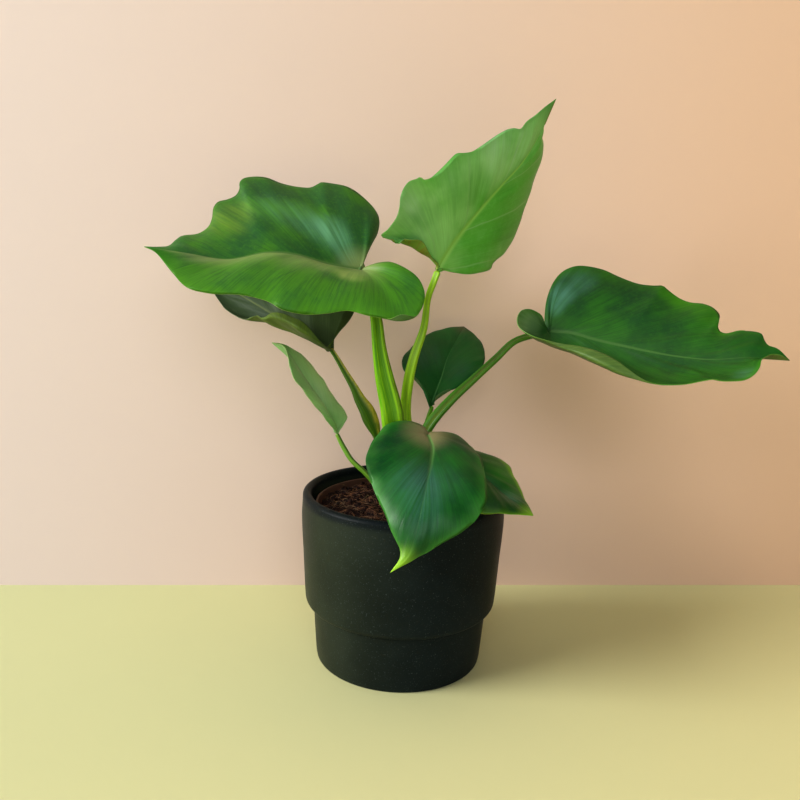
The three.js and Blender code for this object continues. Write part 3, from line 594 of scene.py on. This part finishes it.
def make_fibres(name, count, length, thick, lift, seed, reach_from=0.0):
    """Bent coir fibres, each a thin three-sided strand that tapers at both ends."""
    rng = np.random.default_rng(seed)
    steps, sides = 7, 3
    reach = (SOIL_RADIUS - 6) * np.sqrt(rng.uniform(reach_from, 1, count))
    turn = rng.uniform(0, 2 * np.pi, count)
    heading = rng.uniform(0, 2 * np.pi, count)[:, None]
    bend = rng.uniform(-0.45, 0.45, count)[:, None]
    stride = rng.uniform(0.4, 1, count)[:, None] * length / steps
    climb = rng.uniform(0, lift, count)[:, None]
    step = np.arange(steps + 1)[None, :]
    heading = heading + bend * step + 0.25 * rng.standard_normal((count, steps + 1))
    rise = climb * np.cos(np.pi * step / steps)
    move = np.stack([np.cos(heading), np.sin(heading), rise], axis=2)
    move *= stride[:, :, None]
    line = np.cumsum(move, axis=1)
    line[:, :, 0] += (reach * np.cos(turn))[:, None]
    line[:, :, 1] += (reach * np.sin(turn))[:, None]
    far = np.maximum(np.hypot(line[:, :, 0], line[:, :, 1]) / (SOIL_RADIUS - 1.2), 1)
    line[:, :, :2] /= far[:, :, None]
    ground = np.array([soil_height(*p) for p in line[:, :, :2].reshape(-1, 2)])
    line[:, :, 2] += ground.reshape(count, steps + 1) + HEAPED + 0.3
    radius = thick * np.sin(np.pi * step[0] / steps) ** 0.4

    def place(row, side):
        fibre, at = divmod(row, steps + 1)
        angle = 2 * math.pi * side / sides
        across = Vector((-math.sin(heading[fibre, at]), math.cos(heading[fibre, at]), 0))
        offset = across * math.cos(angle) + Vector((0, 0, math.sin(angle)))
        return (Vector(line[fibre, at]) + offset * radius[at]) * MM

    def mark(row, side, low):
        return row / (steps + 1), side / sides

    return grid_mesh(name, count * (steps + 1) - 1, sides, place, mark, steps + 1)


CROWN_RINGS, CROWN_SIDES = 40, 24


def make_crown():
    """The short stem, ringed where older leaves have fallen."""
    def place(step, side):
        u = step / CROWN_RINGS
        x, y, z, radius = -3 - 1 * u, 4, 88 + 40 * u, 4.6 - 1.4 * u
        radius *= 1 + 0.07 * math.cos(2 * math.pi * 5 * u)
        if step in (0, CROWN_RINGS):
            radius = 0
        angle = 2 * math.pi * side / CROWN_SIDES
        return Vector((x + radius * math.cos(angle), y + radius * math.sin(angle), z)) * MM

    def mark(step, side, low):
        return step / CROWN_RINGS, side / CROWN_SIDES

    stem = grid_mesh("crown_ringed", CROWN_RINGS, CROWN_SIDES, place, mark)
    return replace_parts(stem, "crown")


# ------------------------------------------------------------------ materials

class Finish:
    """Short names for the nodes of one material."""

    def __init__(self, name):
        self.material = bpy.data.materials.new(name)
        self.material.use_nodes = True
        self.nodes = self.material.node_tree.nodes
        self.links = self.material.node_tree.links
        self.nodes.clear()
        self.output = self.nodes.new("ShaderNodeOutputMaterial")
        coordinates = self.nodes.new("ShaderNodeTexCoord")
        self.place = coordinates.outputs["Object"]
        self.uv = coordinates.outputs["UV"]

    def put(self, socket, value):
        if isinstance(value, bpy.types.NodeSocket):
            self.links.new(value, socket)
        elif isinstance(value, tuple) and socket.type == "RGBA":
            socket.default_value = (*value, 1)
        else:
            socket.default_value = value

    def math(self, operation, *values):
        node = self.nodes.new("ShaderNodeMath")
        node.operation = operation
        for socket, value in zip(node.inputs, values):
            self.put(socket, value)
        return node.outputs[0]

    def smooth(self, value, low, high, out_low=0.0, out_high=1.0):
        node = self.nodes.new("ShaderNodeMapRange")
        node.interpolation_type = "SMOOTHSTEP"
        for socket, item in zip(node.inputs, (value, low, high, out_low, out_high)):
            self.put(socket, item)
        return node.outputs[0]

    def mix(self, share, a, b, blend="MIX"):
        node = self.nodes.new("ShaderNodeMix")
        node.data_type = "RGBA"
        node.blend_type = blend
        self.put(node.inputs["Factor"], share)
        self.put(node.inputs["A"], a)
        self.put(node.inputs["B"], b)
        return node.outputs["Result"]

    def noise(self, scale, detail=3.0, roughness=0.55, vector=None, stretch=None):
        vector = vector or self.place
        if stretch:
            mapping = self.nodes.new("ShaderNodeMapping")
            self.put(mapping.inputs["Vector"], vector)
            mapping.inputs["Scale"].default_value = stretch
            vector = mapping.outputs["Vector"]
        node = self.nodes.new("ShaderNodeTexNoise")
        self.put(node.inputs["Vector"], vector)
        node.inputs["Scale"].default_value = scale
        node.inputs["Detail"].default_value = detail
        node.inputs["Roughness"].default_value = roughness
        return node.outputs["Fac"]

    def join(self, x, y):
        node = self.nodes.new("ShaderNodeCombineXYZ")
        self.put(node.inputs[0], x)
        self.put(node.inputs[1], y)
        return node.outputs[0]

    def split(self, vector):
        node = self.nodes.new("ShaderNodeSeparateXYZ")
        self.put(node.inputs[0], vector)
        return node.outputs

    def distance(self, point):
        """Distance in metres from a point given in millimetres."""
        node = self.nodes.new("ShaderNodeVectorMath")
        node.operation = "DISTANCE"
        self.put(node.inputs[0], self.place)
        node.inputs[1].default_value = tuple(c * MM for c in point)
        return node.outputs["Value"]

    def relief(self, height, strength, depth_mm):
        node = self.nodes.new("ShaderNodeBump")
        node.inputs["Strength"].default_value = strength
        node.inputs["Distance"].default_value = depth_mm * MM
        self.put(node.inputs["Height"], height)
        return node.outputs["Normal"]

    def surface(self, color, roughness, normal=None, glow=0.0, **constants):
        shader = self.nodes.new("ShaderNodeBsdfPrincipled")
        self.put(shader.inputs["Base Color"], color)
        self.put(shader.inputs["Roughness"], roughness)
        if normal is not None:
            self.put(shader.inputs["Normal"], normal)
        for name, value in constants.items():
            self.put(shader.inputs[name.replace("_", " ")], value)
        result = shader.outputs[0]
        if glow:
            through = self.nodes.new("ShaderNodeBsdfTranslucent")
            self.put(through.inputs["Color"], color)
            join = self.nodes.new("ShaderNodeMixShader")
            join.inputs[0].default_value = glow
            self.links.new(result, join.inputs[1])
            self.links.new(through.outputs[0], join.inputs[2])
            result = join.outputs[0]
        self.links.new(result, self.output.inputs["Surface"])
        return self.material


LEAF_LOOKS = {
    # base and light green; the painted sheen's colour and where that highlight is painted into
    # the colour (x, y, z, reach in mm, strength); patches, the same with a colour of their
    # own, a few of them painted light on a lobe that lies in shade; flush at the stalk, its
    # strength there and beside the midrib; midrib with its width and reach; tip, margin
    # zone with its strength, underside; the lighter half (-1 left, 1 right, 0 neither);
    # side veins (how many, strength, colour); fine grain, gloss, roughness and what
    # shines through; the thin line along the margin
    "left_large": dict(
        base=(0.026, 0.12, 0.024), light=(0.075, 0.25, 0.012), painted_sheen_color=(0.19, 0.46, 0.25),
        painted_sheens=[(-43, 0, 278, 12, 0.5), (-49, 5, 287, 16, 0.7), (-56, 9, 294, 19, 0.8),
                (-65, 9, 298, 18, 0.5), (-79, 11, 304, 20, 0.35), (-95, 14, 309, 20, 0.25)],
        patches=[(-39, -20, 267, 13, 0.8, (0.42, 0.5, 0.15)),
                 (-55, -17, 273, 12, 0.5, (0.36, 0.4, 0.16)),
                 (-122, 7, 299, 24, 0.6, (0.2, 0.33, 0.03))],
        flush=(0.36, 0.42, 0.16), flushed=0.6, by_rib=0.6, rib=(0.12, 0.22, 0.055),
        rib_width=0.06, rib_reach=0.8, tip=(0.02, 0.2, 0.001), zone=(0.1, 0.3, 0.008),
        edge=0.45, under=(0.12, 0.2, 0.06), light_half=-1,
        veins=(7, 0.3, (0.015, 0.07, 0.025)), grain=0.38, gloss=0.25, rough=0.44, glow=0.1,
        line=(0.3, 0.42, 0.1)),
    "top_young": dict(
        # partly painted light: these greens are the young leaf's pale colour, lifted further to
        # make up for the little lamp light that falls on it
        base=(0.15, 0.54, 0.065), light=(0.36, 0.74, 0.24), painted_sheen_color=(0.54, 0.8, 0.5),
        painted_sheens=[(-2, -22, 305, 27, 0.6), (25, -15, 328, 20, 0.25), (55, -4, 350, 32, 0.55)],
        patches=[(-5, -18, 301, 11, 0.6, (0.05, 0.34, 0.01)),
                 (7, -14, 306, 13, 0.5, (0.05, 0.34, 0.01)),
                 (38, -6, 325, 18, 0.6, (0.07, 0.38, 0.015)),
                 (24, -9, 315, 15, 0.4, (0.07, 0.38, 0.015)),
                 (63, 24, 298, 20, 0.4, (0.05, 0.3, 0.01)),
                 (60, 8, 322, 12, 0.4, (0.07, 0.36, 0.02))],
        flush=(0.25, 0.55, 0.06), flushed=0.3, by_rib=0.1, rib=(0.36, 0.68, 0.14),
        rib_width=0.11, rib_reach=1.0, tip=(0.14, 0.42, 0.08), zone=(0.08, 0.36, 0.02),
        edge=0.4, under=(0.26, 0.24, 0.02), light_half=-1,
        veins=(5, 0.6, (0.34, 0.64, 0.24)), grain=0.16, gloss=0.45, rough=0.36, glow=0.22,
        line=(0.14, 0.2, 0.03)),
    "right_large": dict(
        base=(0.011, 0.07, 0.012), light=(0.028, 0.15, 0.008), painted_sheen_color=(0.13, 0.32, 0.23),
        painted_sheens=[(97, 8, 249, 10, 0.6), (101, 13, 258, 14, 0.9), (112, 20, 268, 20, 0.5),
                (197, -68, 220, 11, 0.35)],
        # painted light: these first four patches lift the curled near lobe, which lies in shade
        patches=[(72, -13, 243, 15, 1, (0.3, 0.48, 0.18)), (79, -7, 243, 14, 1, (0.26, 0.42, 0.17)),
                 (72, -23, 238, 13, 1, (0.26, 0.42, 0.16)),
                 (84, -9, 238, 10, 0.8, (0.16, 0.3, 0.1)),
                 (180, -4, 257, 16, 0.7, (0.05, 0.22, 0.004)),
                 (190, -17, 250, 13, 0.6, (0.05, 0.2, 0.004)),
                 (171, 3, 263, 12, 0.6, (0.05, 0.2, 0.004)),
                 (146, -52, 213, 22, 0.4, (0.05, 0.2, 0.01)),
                 (203, -45, 237, 14, 0.8, (0.012, 0.1, 0.002))],
        flush=(0.06, 0.12, 0.04), flushed=0.2, by_rib=0.2, rib=(0.07, 0.17, 0.035),
        rib_width=0.07, rib_reach=0.95, tip=(0.006, 0.09, 0.001), zone=(0.05, 0.24, 0.004),
        edge=0.7, under=(0.12, 0.18, 0.04), light_half=0,
        veins=(6, 0.2, (0.02, 0.08, 0.02)), grain=0.45, gloss=0.25, rough=0.44, glow=0.08,
        line=(0.2, 0.36, 0.06)),
    "back_small": dict(
        base=(0.006, 0.09, 0.012), light=(0.016, 0.14, 0.018), painted_sheen_color=(0.04, 0.12, 0.07),
        painted_sheens=[(15, 60, 205, 20, 0.5), (40, 48, 200, 16, 0.4)],
        flush=(0.06, 0.08, 0.03), flushed=0.1, by_rib=0, rib=(0.1, 0.26, 0.08),
        rib_width=0.07, rib_reach=0.8, tip=(0.1, 0.1, 0.045), zone=(0.02, 0.1, 0.015),
        edge=0.2, under=(0.1, 0.16, 0.05), light_half=0,
        veins=(5, 0.1, (0.02, 0.1, 0.02)), grain=0.2, gloss=0.25, rough=0.42, glow=0.05,
        line=(0.05, 0.12, 0.04)),
    "left_lower": dict(
        base=(0.045, 0.08, 0.03), light=(0.07, 0.11, 0.035), painted_sheen_color=(0.1, 0.14, 0.1),
        painted_sheens=[(-80, 40, 250, 25, 0.3)],
        flush=(0.05, 0.09, 0.03), flushed=0.2, by_rib=0.1, rib=(0.12, 0.16, 0.05),
        rib_width=0.08, rib_reach=1.0, tip=(0.04, 0.12, 0.02), zone=(0.07, 0.12, 0.03),
        edge=0.1, under=(0.12, 0.19, 0.02), light_half=1,
        veins=(6, 0.25, (0.03, 0.07, 0.03)), grain=0.3, gloss=0.2, rough=0.5, glow=0.06,
        line=(0.2, 0.26, 0.12)),
    "front_hanging": dict(
        base=(0.003, 0.056, 0.014), light=(0.012, 0.13, 0.012), painted_sheen_color=(0.07, 0.2, 0.17),
        painted_sheens=[(10, -70, 146, 28, 0.6), (12, -85, 131, 18, 0.35)],
        flush=(0.46, 0.3, 0.18), flushed=0.5, by_rib=0, rib=(0.12, 0.27, 0.07),
        rib_width=0.1, rib_reach=0.55, tip=(0.42, 0.74, 0.035), zone=(0.06, 0.26, 0.03),
        edge=0.7, under=(0.12, 0.2, 0.06), light_half=0,
        veins=(6, 0.08, (0.03, 0.1, 0.03)), grain=0.4, gloss=0.35, rough=0.33, glow=0.06,
        line=(0.36, 0.52, 0.16)),
    "right_rim": dict(
        base=(0.003, 0.085, 0.004), light=(0.025, 0.22, 0.008), painted_sheen_color=(0.3, 0.46, 0.3),
        painted_sheens=[(69, -43, 131, 11, 0.4)],
        flush=(0.04, 0.09, 0.02), flushed=0.1, by_rib=0, rib=(0.03, 0.12, 0.03),
        rib_width=0.08, rib_reach=0.8, tip=(0.26, 0.5, 0.02), zone=(0.3, 0.62, 0.015),
        edge=0.9, under=(0.1, 0.17, 0.05), light_half=0,
        veins=(5, 0.1, (0.02, 0.12, 0.02)), grain=0.2, gloss=0.45, rough=0.34, glow=0.08,
        line=(0.4, 0.6, 0.05)),
    "left_satin": dict(
        # partly painted highlight: these pale greens are the leaf's colour lifted to stand in for a
        # satin sheen on a face turned from the lamps
        base=(0.34, 0.66, 0.23), light=(0.5, 0.8, 0.33), painted_sheen_color=(0.62, 0.8, 0.54),
        painted_sheens=[(-60, 2, 184, 22, 0.6), (-73, -2, 202, 16, 0.5)],
        flush=(0.2, 0.38, 0.08), flushed=0.2, by_rib=0, rib=(0.38, 0.6, 0.24),
        rib_width=0.08, rib_reach=0.5, tip=(0.16, 0.4, 0.03), zone=(0.2, 0.42, 0.1),
        edge=0.1, under=(0.2, 0.36, 0.14), light_half=1,
        veins=(5, 0.06, (0.18, 0.34, 0.12)), grain=0.12, gloss=0.4, rough=0.38, glow=0.2,
        line=(0.36, 0.4, 0.16)),
}


def darker(color, share):
    return tuple(share * c for c in color)


UNDERSIDE = 1.0005                # y of the UV past which a face looks down
VEIN_WIDTH = 0.035
FLUSH_REACH = (0.003, 0.023)      # metres from the stalk: full, gone
RIB_STARTS = (0.22, 0.3)          # along the rows: first seen, full
TIP_STARTS = 0.86
MARGIN_ZONE = (0.6, 0.78)         # from the midrib outwards: first seen, full
MARGIN_LINE = (0.982, 0.996)


def leaf_finish(name, look, sweep, stalk_end):
    f = Finish("leaf_" + name)
    along, side, _ = f.split(f.uv)
    signed = f.math("SUBTRACT", f.math("MULTIPLY", f.math("FRACT", side), 2.0), 1.0)
    across = f.math("ABSOLUTE", signed)
    under = f.math("GREATER_THAN", side, UNDERSIDE)

    # the side veins leave the midrib and bend towards the tip
    bend = f.math("MULTIPLY", f.math("POWER", across, 0.9), sweep)
    bend = f.math("DIVIDE", 1.0, f.math("ADD", bend, 1.0))
    to_tip = f.math("MAXIMUM", f.math("SUBTRACT", 1.0, along), 0.0)
    vein_at = f.math("SUBTRACT", 1.0, f.math("POWER", to_tip, bend))
    run = f.join(vein_at, side)
    bands = f.noise(1, 3, 0.6, run, (7, 1.6, 1))
    pleats = f.noise(1, 2, 0.6, run, (26, 1.2, 1))
    striae = f.noise(1, 3, 0.7, run, (150, 5, 1))
    patches = f.noise(30, 3)
    mottle = f.noise(380, 4, 0.7)

    tone = f.math("ADD", f.math("MULTIPLY", bands, 0.22), f.math("MULTIPLY", pleats, 0.1))
    tone = f.math("ADD", tone, f.math("MULTIPLY", patches, 0.68))
    if look["light_half"]:
        half = f.math("MULTIPLY", signed, float(look["light_half"]))
        tone = f.math("ADD", tone, f.smooth(half, -0.15, 0.3, -0.07, 0.07))
    color = f.mix(f.smooth(tone, 0.38, 0.62), look["base"], look["light"])
    color = f.mix(f.smooth(striae, 0.38, 0.6, look["grain"], 0), color, darker(look["base"], 0.6))
    color = f.mix(f.smooth(mottle, 0.45, 0.75, 0, look["grain"]), color, look["light"])

    count, strength, vein_color = look["veins"]
    wander = f.math("MULTIPLY", f.noise(25, 2), 0.07)
    phase = f.math("MULTIPLY", f.math("ADD", vein_at, wander), float(count))
    off_vein = f.math("ABSOLUTE", f.math("SUBTRACT", f.math("FRACT", phase), 0.5))
    vein = f.math("MULTIPLY", f.smooth(off_vein, 0.0, VEIN_WIDTH, 1, 0),
                  f.smooth(across, 0.5, 0.95, strength, 0))
    color = f.mix(vein, color, vein_color)

    # painted highlight: the sheen is painted into the colour, in streaks along the veins
    beams = f.smooth(f.noise(1, 3, 0.65, run, (34, 1.2, 1)), 0.34, 0.66, 0.35, 1)
    for x, y, z, reach, amount in look["painted_sheens"]:
        spot = f.smooth(f.distance((x, y, z)), 0, reach * MM, amount, 0)
        color = f.mix(f.math("MULTIPLY", spot, beams), color, look["painted_sheen_color"])
    # patches add colours of their own; on right_large's near lobe they are painted light on a lobe
    # in shade
    for x, y, z, reach, amount, tint in look.get("patches", ()):
        spot = f.smooth(f.distance((x, y, z)), 0.3 * reach * MM, reach * MM, amount, 0)
        color = f.mix(f.math("MULTIPLY", spot, beams), color, tint)
    flush = f.smooth(f.distance(stalk_end), *FLUSH_REACH, look["flushed"], 0)
    if look["by_rib"]:
        strip = f.math("MULTIPLY", f.smooth(across, 0.06, 0.45, look["by_rib"], 0),
                       f.smooth(bands, 0.35, 0.6, 0.35, 0.9))
        if look["light_half"]:
            strip = f.math("MULTIPLY", strip, f.smooth(half, -0.02, 0.06))
        flush = f.math("MAXIMUM", flush, strip)
    color = f.mix(flush, color, look["flush"])

    edge = f.math("MULTIPLY", f.smooth(across, *MARGIN_ZONE), look["edge"])
    edge = f.math("MULTIPLY", edge, f.smooth(patches, 0.35, 0.6, 0.35, 1))
    color = f.mix(edge, color, look["zone"])
    color = f.mix(f.smooth(along, TIP_STARTS, 1.0, 0, 0.95), color, look["tip"])
    rib_width = f.math("SUBTRACT", look["rib_width"],
                       f.math("MULTIPLY", along, look["rib_width"] * 0.6))
    rib = f.smooth(f.math("DIVIDE", across, rib_width), 0.4, 1.2, 0.85, 0)
    rib = f.math("MULTIPLY", rib, f.smooth(along, *RIB_STARTS))
    fades = f.smooth(along, look["rib_reach"] - 0.2, look["rib_reach"] + 0.1, 1, 0.15)
    color = f.mix(f.math("MULTIPLY", rib, fades), color, look["rib"])
    line = f.smooth(across, *MARGIN_LINE)
    color = f.mix(f.math("MULTIPLY", line, 0.6), color, look["line"])

    below = f.mix(f.smooth(f.noise(40, 3), 0.3, 0.7, 0, 0.3), look["under"], look["light"])
    below = f.mix(f.smooth(striae, 0.35, 0.62, 0.35, 0), below, look["base"])
    color = f.mix(under, color, below)

    grain = f.math("ADD", f.math("MULTIPLY", pleats, 0.5), f.math("MULTIPLY", striae, 0.3))
    grain = f.math("ADD", grain, f.math("MULTIPLY", mottle, 0.2))
    height = f.math("SUBTRACT", grain, f.math("MULTIPLY", vein, 0.5))
    roughness = f.smooth(f.noise(60, 3), 0.3, 0.7, look["rough"] - 0.05, look["rough"] + 0.09)
    return f.surface(color, roughness, f.relief(height, 0.45, 0.6), look["glow"],
                     Specular_IOR_Level=look["gloss"])


def stalk_finish(name, main, pale, blush, blush_at, blush_amount, line_at=None):
    """Colours run along the stalk; blush and pale line at their shares of a turn."""
    f = Finish("stalk_" + name)
    around = f.split(f.uv)[1]
    streaks = f.noise(1, 4, 0.65, f.uv, (5, 40, 1))
    color = f.mix(f.smooth(streaks, 0.35, 0.68), main, pale)
    flecks = f.noise(520, 3, 0.6, stretch=(1, 1, 0.3))

    def off(place):
        turned = f.math("ADD", around, 1.5 - place)
        return f.math("ABSOLUTE", f.math("SUBTRACT", f.math("FRACT", turned), 0.5))

    # painted shade: the groove is painted darker where it lies in shade
    color = f.mix(f.smooth(off(0.25), 0.03, 0.09, 0.55, 0), color, darker(main, 0.6))
    wing = f.smooth(off(blush_at), 0.02, 0.16, blush_amount, 0)
    color = f.mix(f.math("MULTIPLY", wing, f.smooth(flecks, 0.35, 0.6, 0.4, 1)), color, blush)
    color = f.mix(f.smooth(flecks, 0.58, 0.72, 0, 0.4), color, darker(main, 0.7))
    if line_at is not None:
        color = f.mix(f.smooth(off(line_at), 0.008, 0.022, 0.8, 0), color, pale)
    return f.surface(color, 0.4, f.relief(streaks, 0.35, 0.3), 0.08, Specular_IOR_Level=0.4)


def ceramic_finish():
    f = Finish("black_stoneware")
    cloud = f.noise(18, 3)
    x, _, z = f.split(f.place)
    # painted light and shade: the glaze is painted lighter and olive on the left, where the lamp
    # falls, and darkest blue on the right, which lies in shade
    painted_lit_left = f.mix(f.smooth(cloud, 0.3, 0.7), (0.019, 0.025, 0.015), (0.029, 0.037, 0.022))
    blue = f.mix(f.smooth(cloud, 0.3, 0.7), (0.003, 0.0075, 0.0095), (0.008, 0.0155, 0.018))
    color = f.mix(f.smooth(x, -0.068, 0.03), painted_lit_left, blue)
    # painted shade: the rim's top is painted darker, to hold down the light it catches
    color = f.mix(f.smooth(z, 0.1125, 0.1165, 0, 0.8), color, (0.002, 0.005, 0.008))
    specks = f.smooth(f.noise(1100, 2, 0.6), 0.62, 0.72, 0, 0.6)
    color = f.mix(specks, color, (0.07, 0.09, 0.09))
    pits = f.smooth(f.noise(900, 2, 0.5), 0.3, 0.5)
    roughness = f.smooth(f.noise(35, 4), 0.3, 0.7, 0.38, 0.46)
    return f.surface(color, roughness, f.relief(pits, 0.25, 0.12), Specular_IOR_Level=0.1)


def plastic_finish():
    f = Finish("brown_growing_pot")
    color = f.mix(f.smooth(f.noise(60, 4), 0.35, 0.7), (0.09, 0.036, 0.02), (0.14, 0.06, 0.036))
    return f.surface(color, 0.48, f.relief(f.noise(700, 2), 0.2, 0.1))


def soil_finish():
    f = Finish("coir_soil")
    grains = f.noise(420, 5, 0.7)
    color = f.mix(f.smooth(grains, 0.35, 0.7), (0.004, 0.0012, 0.0008), (0.028, 0.0065, 0.0025))
    lumps = f.noise(110, 4)
    color = f.mix(f.smooth(lumps, 0.55, 0.75, 0, 0.5), color, (0.075, 0.028, 0.012))
    return f.surface(color, 0.9, f.relief(grains, 0.9, 0.8), Specular_IOR_Level=0.2)


def fibre_finish(name, dark, light):
    f = Finish(name)
    color = f.mix(f.smooth(f.noise(240, 2), 0.35, 0.65), dark, light)
    return f.surface(color, 0.75, f.relief(f.noise(2500, 2), 0.4, 0.05))


def crown_finish():
    f = Finish("short_stem")
    color = f.mix(f.smooth(f.noise(160, 4), 0.4, 0.7), (0.07, 0.06, 0.02), (0.03, 0.018, 0.008))
    return f.surface(color, 0.7, f.relief(f.noise(500, 3), 0.6, 0.4))


def dress(piece, material):
    piece.data.materials.clear()
    piece.data.materials.append(material)


# ------------------------------------------------------------------ the plant and its pots

GREEN, PALE = (0.08, 0.24, 0.006), (0.16, 0.38, 0.012)
RED = (0.16, 0.1, 0.02)
STALK_LOOKS = {
    # main and pale green, blush, its place and strength, pale line
    # partly painted light: left_large's greens are set lighter than the stalk's own colour, to lift
    # the shade its blade casts on it
    "left_large": ((0.12, 0.4, 0.002), (0.36, 0.7, 0.006), RED, 0.06, 0.6, 0.17),
    "top_young": ((0.24, 0.46, 0.006), (0.4, 0.64, 0.02), RED, 0.5, 0.3),
    "right_large": ((0.03, 0.15, 0.002), (0.09, 0.25, 0.01), (0.12, 0.09, 0.015), 0.18, 0.5, 0.03),
    "back_small": (GREEN, PALE, RED, 0.5, 0.1),
    # partly painted light: left_lower's blush is its reddish colour set lighter and stronger, to
    # lift the sheath out of shade
    "left_lower": ((0.07, 0.18, 0.01), (0.15, 0.28, 0.02), (0.6, 0.45, 0.04), 0.1, 0.9),
    "front_hanging": (GREEN, PALE, RED, 0.5, 0.2),
    "right_rim": (GREEN, PALE, RED, 0.5, 0.2),
    "left_satin": ((0.08, 0.24, 0.012), (0.2, 0.4, 0.03), RED, 0.5, 0.2),
}

for leaf_name, drawn in LEAVES.items():
    blade = make_blade("blade_" + leaf_name, drawn)
    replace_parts(blade, "leaf_" + leaf_name)
    finish = leaf_finish(leaf_name, LEAF_LOOKS[leaf_name], drawn["sweep"], drawn["rib"][0])
    dress(blade, finish)
    route, facing = STALKS[leaf_name]
    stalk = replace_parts(make_stalk("petiole_" + leaf_name, route, facing), "stalk_" + leaf_name)
    dress(stalk, stalk_finish(leaf_name, *STALK_LOOKS[leaf_name]))

dress(make_cover_pot(), ceramic_finish())
dress(make_growing_pot(), plastic_finish())
dress(make_crown(), crown_finish())
soil_look = soil_finish()
dress(make_soil_surface(), soil_look)
dress(make_soil_crumbs(), soil_look)
dress(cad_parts["soil"], soil_look)
dark_fibres = fibre_finish("dark_coir", (0.03, 0.01, 0.004), (0.11, 0.04, 0.015))
pale_fibres = fibre_finish("pale_coir", (0.16, 0.09, 0.045), (0.34, 0.22, 0.12))
tan_fibres = fibre_finish("tan_coir", (0.12, 0.045, 0.018), (0.3, 0.13, 0.05))
dress(make_fibres("coir_dark", 1300, 12, 0.17, 0.2, 3), dark_fibres)
dress(make_fibres("coir_tan", 800, 14, 0.14, 0.3, 4), tan_fibres)
dress(make_fibres("coir_pale", 130, 15, 0.11, 0.9, 5, 0.1), pale_fibres)

# ------------------------------------------------------------------ floor, light, camera

WALL_AT = 0.1125       # behind the pot's middle
WALL_SLANT = 0.0908    # the wall isn't quite square to the view
STAGE_REACH = 5.0
PAINTED_FALLOFF = (-0.45, 0.5)   # from the left colour to the right one, along x: painted light and shade for the light falling off across the stage


def make_backdrop(name, start, end, facing, left, right):
    """A sheet along the foot of the wall, from one offset to another; its paint changes from the
    left colour to the right one, painted light and shade for the lamp's falloff.
    """
    bm = bmesh.new()
    foot = [bm.verts.new((x, WALL_AT + WALL_SLANT * x, 0)) for x in (-STAGE_REACH, STAGE_REACH)]
    edge = bm.edges.new(foot)
    grown = bmesh.ops.extrude_edge_only(bm, edges=[edge])["geom"]
    far = [g for g in grown if isinstance(g, bmesh.types.BMVert)]
    bmesh.ops.translate(bm, vec=start, verts=foot)
    bmesh.ops.translate(bm, vec=end, verts=far)
    bm.normal_update()
    bmesh.ops.reverse_faces(bm, faces=[f for f in bm.faces if f.normal.dot(Vector(facing)) < 0])
    sheet = object_from(name, bm)
    f = Finish(name + "_paint")
    color = f.mix(f.smooth(f.split(f.place)[0], *PAINTED_FALLOFF), left, right)
    sheet.data.materials.append(f.surface(color, 0.7, Specular_IOR_Level=0.2))
    return f


def open_from_behind(f):
    """The wall's back lets the view through, so the plant is seen from all sides."""
    painted = f.output.inputs["Surface"].links[0].from_socket
    join = f.nodes.new("ShaderNodeMixShader")
    behind = f.nodes.new("ShaderNodeNewGeometry").outputs["Backfacing"]
    f.links.new(behind, join.inputs[0])
    f.links.new(painted, join.inputs[1])
    f.links.new(f.nodes.new("ShaderNodeBsdfTransparent").outputs[0], join.inputs[2])
    f.links.new(join.outputs[0], f.output.inputs["Surface"])


def make_light(name, place, target, size, power, color):
    data = bpy.data.lights.new(name, "AREA")
    data.shape = "DISK"
    data.size = size
    data.energy = power
    data.color = color
    light = put_in_scene(name, data)
    light.location = place
    light.rotation_euler = (Vector(target) - Vector(place)).to_track_quat("-Z", "Y").to_euler()


CAMERA_AT = Vector((-5, -534, 286)) * MM
CAMERA_PITCH = 10.85     # degrees below the horizon
CAMERA_ROLL = 2.16
SENSOR_WIDTH = 36
FOCAL_SHARE = 1.0        # focal length over the picture's width


def make_camera():
    data = bpy.data.cameras.new("photo_view")
    data.sensor_width = SENSOR_WIDTH
    data.lens = SENSOR_WIDTH * FOCAL_SHARE
    data.clip_start = 0.01
    camera = put_in_scene("photo_view", data)
    turn = Matrix.Rotation(math.radians(90 - CAMERA_PITCH), 4, "X")
    roll = Matrix.Rotation(math.radians(CAMERA_ROLL), 4, "Z")
    camera.matrix_world = Matrix.Translation(CAMERA_AT) @ turn @ roll
    bpy.context.scene.camera = camera


# painted light and shade: the floor is painted darker to the left, and the wall pinker to the left
# and more orange to the right
make_backdrop("studio_floor", (0, -STAGE_REACH, 0), (0, STAGE_REACH, 0), (0, 0, 1),
              (0.59, 0.6, 0.34), (0.77, 0.72, 0.38))
open_from_behind(make_backdrop("studio_wall", (0, 0, 0), (0, 0, STAGE_REACH), (0, -1, 0),
                               (0.77, 0.65, 0.63), (0.85, 0.57, 0.4)))
make_light("window_left", (-3.6, -1.2, 1.9), (0, 0, 0.2), 2.8, 265, (1, 1, 1))
make_light("room_front", (0.1, -2.0, 1.0), (0, 0, 0.2), 1.6, 17, (0.92, 0.98, 1))
make_light("sky_above", (-0.1, -0.3, 1.7), (0, 0, 0.1), 1.2, 2.5, (0.8, 0.93, 1))
world = bpy.data.worlds.new("studio")
world.use_nodes = True
world.node_tree.nodes["Background"].inputs["Color"].default_value = (0.9, 0.95, 1, 1)
world.node_tree.nodes["Background"].inputs["Strength"].default_value = 0.13
bpy.context.scene.world = world
bpy.context.scene.view_settings.view_transform = "Standard"
bpy.context.scene.view_settings.gamma = 0.85
make_camera()
